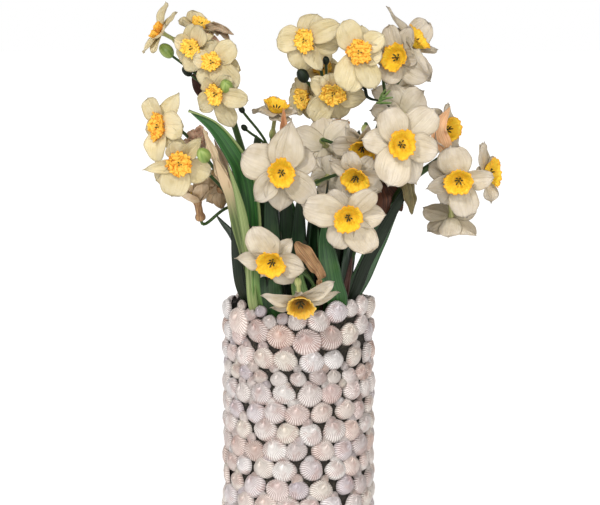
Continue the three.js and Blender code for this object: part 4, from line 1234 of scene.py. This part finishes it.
def addPleatedCup(bm, turn, centre, radius, height, rng):
    c = cup
    phases = [rng.uniform(0, 6) for _ in range(4)]
    seed = Vector((rng.uniform(0, 50), 0, 0))

    def place(u, v):
        a = 2 * math.pi * u
        if v < c["floorAt"]:
            t = v / c["floorAt"]
            r = c["floor"] * radius * t
            return centre + turn @ Vector((r * math.cos(a), r * math.sin(a), 1.0 + 0.3 * t * t))
        t = (v - c["floorAt"]) / (1 - c["floorAt"])
        wall = mix(c["floor"], c["wall"], t ** 0.7) + c["flare"] * t ** 5
        lobe = c["lobe"] * t * t * math.cos(5 * a + phases[0]) + c["oval"] * t * math.cos(2 * a + phases[3])
        pleat = c["pleat"] * math.sin(math.pi * min(1, t * 1.2) / 2) * math.cos(c["pleats"] * a + phases[1])
        frill = c["frill"] * t ** 4 * (math.cos(13 * a + phases[2]) + math.cos(22 * a + phases[3]))
        r = radius * (wall + lobe + pleat + frill)
        z = c["seat"] + (height - c["seat"]) * t
        z = z - 0.5 * t ** 6 + 0.3 * t ** 4 * math.cos(13 * a + phases[2] + 1.2)
        point = Vector((r * math.cos(a), r * math.sin(a), z))
        crumple = c["crumple"] * t * t * noise.noise_vector(point / c["crumpleWidth"] + seed)
        return centre + turn @ (point + crumple)

    # The tone runs from the floor to the rim, so the cup tissue paints the floor in shade.
    addSurface(bm, c["across"], c["along"], place, lambda u, v: v)


# The smooth kind shows six splayed anthers round a long style, and the frilled kind three short
# ones. Out and level say where an anther's middle is, in millimetres for a full grown flower.
anthers = {
    "smooth": {"count": 6, "stray": 12, "splay": 0.6, "out": (1.6, 2.6), "level": (3.6, 5),
               "length": (2.8, 4.2), "radius": 0.6, "style": 7, "styleLevel": 4.4},
    "frilled": {"count": 3, "stray": 30, "splay": 0.2, "out": 1.2, "level": 3.4, "length": 2.4,
                "radius": 0.5},
}
# The ovary and the tube above it; the neck of a withering flower is thick and dry.
tubeShape = {"neck": 1.5, "witheringNeck": 2.8, "swell": 1.15, "ridge": 0.12, "sides": 16, "rows": 26}
fullGrown = {"reach": 20, "lean": 6}                  # a smaller or more closed flower has a smaller cup


def addAnther(bm, turn, centre, at, way, length, radius):
    grain = bmesh.ops.create_icosphere(bm, subdivisions=2, radius=1)["verts"]
    bmesh.ops.scale(bm, vec=(radius, radius, length / 2), verts=grain)
    bmesh.ops.rotate(bm, matrix=Vector((0, 0, 1)).rotation_difference(way).to_matrix(), verts=grain)
    bmesh.ops.translate(bm, vec=at, verts=grain)
    bmesh.ops.transform(bm, matrix=Matrix.Translation(centre) @ turn.to_4x4(), verts=grain)


def makeFlower(name, row, seed):
    centre, (azimuth, elevation, roll), reach, lean = row
    centre = Vector(centre)
    turn = facingTurn(azimuth, elevation, 0)
    sort = name.split("_")[0]
    kind = flowerKinds[sort]
    size = min(1, reach / fullGrown["reach"], fullGrown["lean"] / max(1, lean))
    rng = random.Random(seed)
    # Three flowers have no solid in the CAD model, and replace nothing.
    node = ["flower_" + name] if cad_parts.get("flower_" + name) else []
    petals = petalRows.get(name)
    if not petals:
        petals = [(roll + 60 * i + rng.gauss(0, 5), reach * rng.uniform(0.86, 1.06),
                   kind["width"] * reach * rng.uniform(0.8, 1.05), kind["point"] * rng.uniform(0.7, 1.4),
                   lean + rng.gauss(0, 1.4), rng.uniform(0.4, 1.6)) for i in range(6)]

    bm = bmesh.new()
    for i, petal in enumerate(petals):
        addPetal(bm, turn, centre, petal, i % 2 == 0, kind, rng)
    skin = "blushPetals" if name in withering else sort + "Petals"
    finishPiece("tepals_" + name, bm, skin, node, wall=petalShape["wall"], closed=False)

    bm = bmesh.new()
    radius = kind["cupRadius"] * size
    if sort == "smooth":
        addPleatedCup(bm, turn, centre, radius, kind["cupHeight"] * size, rng)
    else:
        addCrown(bm, turn, centre, radius, kind["cupHeight"], crownShares.get(name, (1, 1)), rng)
    skin = "wiltedCup" if name in wiltedCups else "orangeCup" if name in orangeCrowns else sort + "Cup"
    finishPiece("corona_" + name, bm, skin, node, wall=kind["cupWall"], closed=False)
    makeStamens(name, sort, turn, centre, size, rng, node)
    makeTube(name, kind, turn, centre, node)


def makeStamens(name, sort, turn, centre, size, rng, node):
    bm = bmesh.new()
    k = anthers[sort]
    for i in range(k["count"]):
        a = math.radians(360 / k["count"] * i + rng.uniform(-k["stray"], k["stray"]))
        splay = Vector((k["splay"] * math.cos(a), k["splay"] * math.sin(a), 1)).normalized()
        if sort == "smooth":
            out = rng.uniform(*k["out"])
            at = Vector((out * math.cos(a), out * math.sin(a), rng.uniform(*k["level"]))) * size
            length = rng.uniform(*k["length"]) * size
            addAnther(bm, turn, centre, at, splay, length, k["radius"] * size)
        else:
            at = Vector((k["out"] * math.cos(a), k["out"] * math.sin(a), k["level"] * size))
            addAnther(bm, turn, centre, at, splay, k["length"], k["radius"])
    if sort == "smooth":
        addAnther(bm, turn, centre, Vector((0, 0, k["styleLevel"])) * size, Vector((0, 0, 1)),
                  k["style"] * size, k["radius"] * size)
    finishPiece("stamens_" + name, bm, "stamens", node)


# The green ovary, and the tube that runs from it to the petals and widens under them.
def makeTube(name, kind, turn, centre, node):
    bm = bmesh.new()
    neck = tubeShape["witheringNeck" if name in withering else "neck"]
    length = kind["tube"] + kind["ovary"]

    def place(u, v):
        depth = length * (1 - v)
        a = 2 * math.pi * u
        if depth > kind["tube"]:
            t = (depth - kind["tube"]) / kind["ovary"]
            radius = neck + tubeShape["swell"] * math.sin(math.pi * min(1, max(0, t)) ** 0.9)
            radius += tubeShape["ridge"] * math.cos(3 * a)
            radius *= 1 - 0.55 * smoothStep(0.85, 1, t)
        else:
            radius = neck + smoothStep(0.55, 1, 1 - depth / kind["tube"])
        return centre + turn @ Vector((radius * math.cos(a), radius * math.sin(a), -depth))

    addSurface(bm, tubeShape["sides"], tubeShape["rows"], place)
    finishPiece("tube_" + name, bm, "curledSheath" if name in withering else "tube", node)


# The dried flower is two crumpled frills, one inside the other, on a narrow throat. Each frill has
# its reach, its number of folds and their depth, as shares of the flower's reach.
driedFlower = {"foot": (-68, 0, 322), "facing": (-40, 30, 0), "reach": 9, "length": 15, "throat": 1.2,
               "frills": [(1.0, 7, 0.16), (0.6, 5, 0.14)], "flare": 1.6, "crumple": 1.6, "crumpleWidth": 2.6,
               "across": 60, "along": 14, "wall": 0.4}


def addFrill(bm, rim, folds, depth, rng):
    d = driedFlower
    centre = Vector(d["foot"])
    turn = facingTurn(*d["facing"])
    length = d["length"] * (0.7 + 0.3 * rim)
    deep = depth * d["reach"]
    phases = [rng.uniform(0, 6) for _ in range(4)]
    seed = Vector((rng.uniform(0, 50), 0, 0))

    def place(u, v):
        a = 2 * math.pi * u
        lobes = 0.5 * math.cos(6 * a + phases[0]) + 0.35 * math.cos(2 * a + phases[3])
        ripple = math.cos(folds * a + phases[1]) + 0.5 * math.cos((folds + 4) * a + phases[2])
        radius = mix(d["throat"], rim * d["reach"], v ** d["flare"])
        radius += deep * v ** 1.3 * (lobes + 0.6 * ripple)
        height = length * v + deep * v ** 3 * math.sin(folds * a + phases[2])
        point = Vector((radius * math.cos(a), radius * math.sin(a), height))
        point += d["crumple"] * v * noise.noise_vector(point / d["crumpleWidth"] + seed)
        return centre + turn @ point

    addSurface(bm, d["across"], d["along"], place)


def makeDriedFlower():
    rng = random.Random(77)
    bm = bmesh.new()
    for rim, folds, depth in driedFlower["frills"]:
        addFrill(bm, rim, folds, depth, rng)
    finishPiece("dried_flower", bm, "driedFlower", ["flower_dried"], wall=driedFlower["wall"],
                closed=False)


# Stalks and buds

# A side stalk leaves the umbel half upright and arrives along the flower's own way.
def pedicelLine(umbel, end, arriving):
    reach = (end - umbel).length * 0.4
    rise = ((end - umbel).normalized() * 0.5 + Vector((0, 0, 0.5))).normalized()
    leave = umbel + rise * reach
    arrive = end - arriving * min(reach, stalk["arrival"])
    return interpolate_bezier(umbel, leave, arrive, end, stalk["pedicelPoints"])


def makeScapes():
    for name, scape in scapes.items():
        bm = bmesh.new()
        line = smoothLine(risingLine(scape["line"]), lineSteps)
        umbel = line[-1]
        addTube(bm, line, lambda v: mix(stalk["foot"], stalk["head"], v), stalk["sides"])
        knob = bmesh.ops.create_uvsphere(bm, u_segments=stalk["sides"], v_segments=8,
                                         radius=stalk["umbel"])["verts"]
        bmesh.ops.translate(bm, vec=umbel, verts=knob)
        for flower in scape["carries"]:
            if flower == "dried":
                facing = facingVector(*driedFlower["facing"][:2])
                end = Vector(driedFlower["foot"])
            else:
                kind = flowerKinds[flower.split("_")[0]]
                facing = facingVector(*flowers[flower][1][:2])
                end = Vector(flowers[flower][0]) - facing * (kind["tube"] + kind["ovary"])
            addTube(bm, pedicelLine(umbel, end, facing), lambda v: stalk["pedicel"], stalk["pedicelSides"])
        for place, _ in scape.get("buds", []) + scape.get("pods", []):
            end = Vector(place)
            line = pedicelLine(umbel, end, (end - umbel).normalized())
            addTube(bm, line, lambda v: stalk["budPedicel"], stalk["pedicelSides"])
        finishPiece(name + "_stalk", bm, "stalk", [name])
        makeBuds(name, scape, umbel)


# A bud, or a pod where a flower has gone: its length for its width, and its three low ridges
budShape = {"length": 1.35, "ridge": 0.05, "sides": 20, "rows": 12}


def makeBuds(name, scape, umbel):
    for sort in ("buds", "pods"):
        if sort not in scape:
            continue
        bm = bmesh.new()
        for end, radius in scape[sort]:
            end = Vector(end)
            way = (end - umbel).normalized()
            turn = Vector((0, 0, 1)).rotation_difference(way).to_matrix()

            def place(u, v):
                a = 2 * math.pi * u
                polar = math.pi * v
                r = radius * math.sin(polar) * (1 + budShape["ridge"] * math.cos(3 * a))
                return end + turn @ Vector((r * math.cos(a), r * math.sin(a),
                                            -radius * budShape["length"] * math.cos(polar)))

            addSurface(bm, budShape["sides"], budShape["rows"], place)
        finishPiece(f"{name}_{sort}", bm, "bud" if sort == "buds" else "shadeLeaf", [name])


for index, (flowerName, flowerRow) in enumerate(flowers.items()):
    makeFlower(flowerName, flowerRow, 100 + index)
makeDriedFlower()
makeScapes()
print("flowers and stalks")
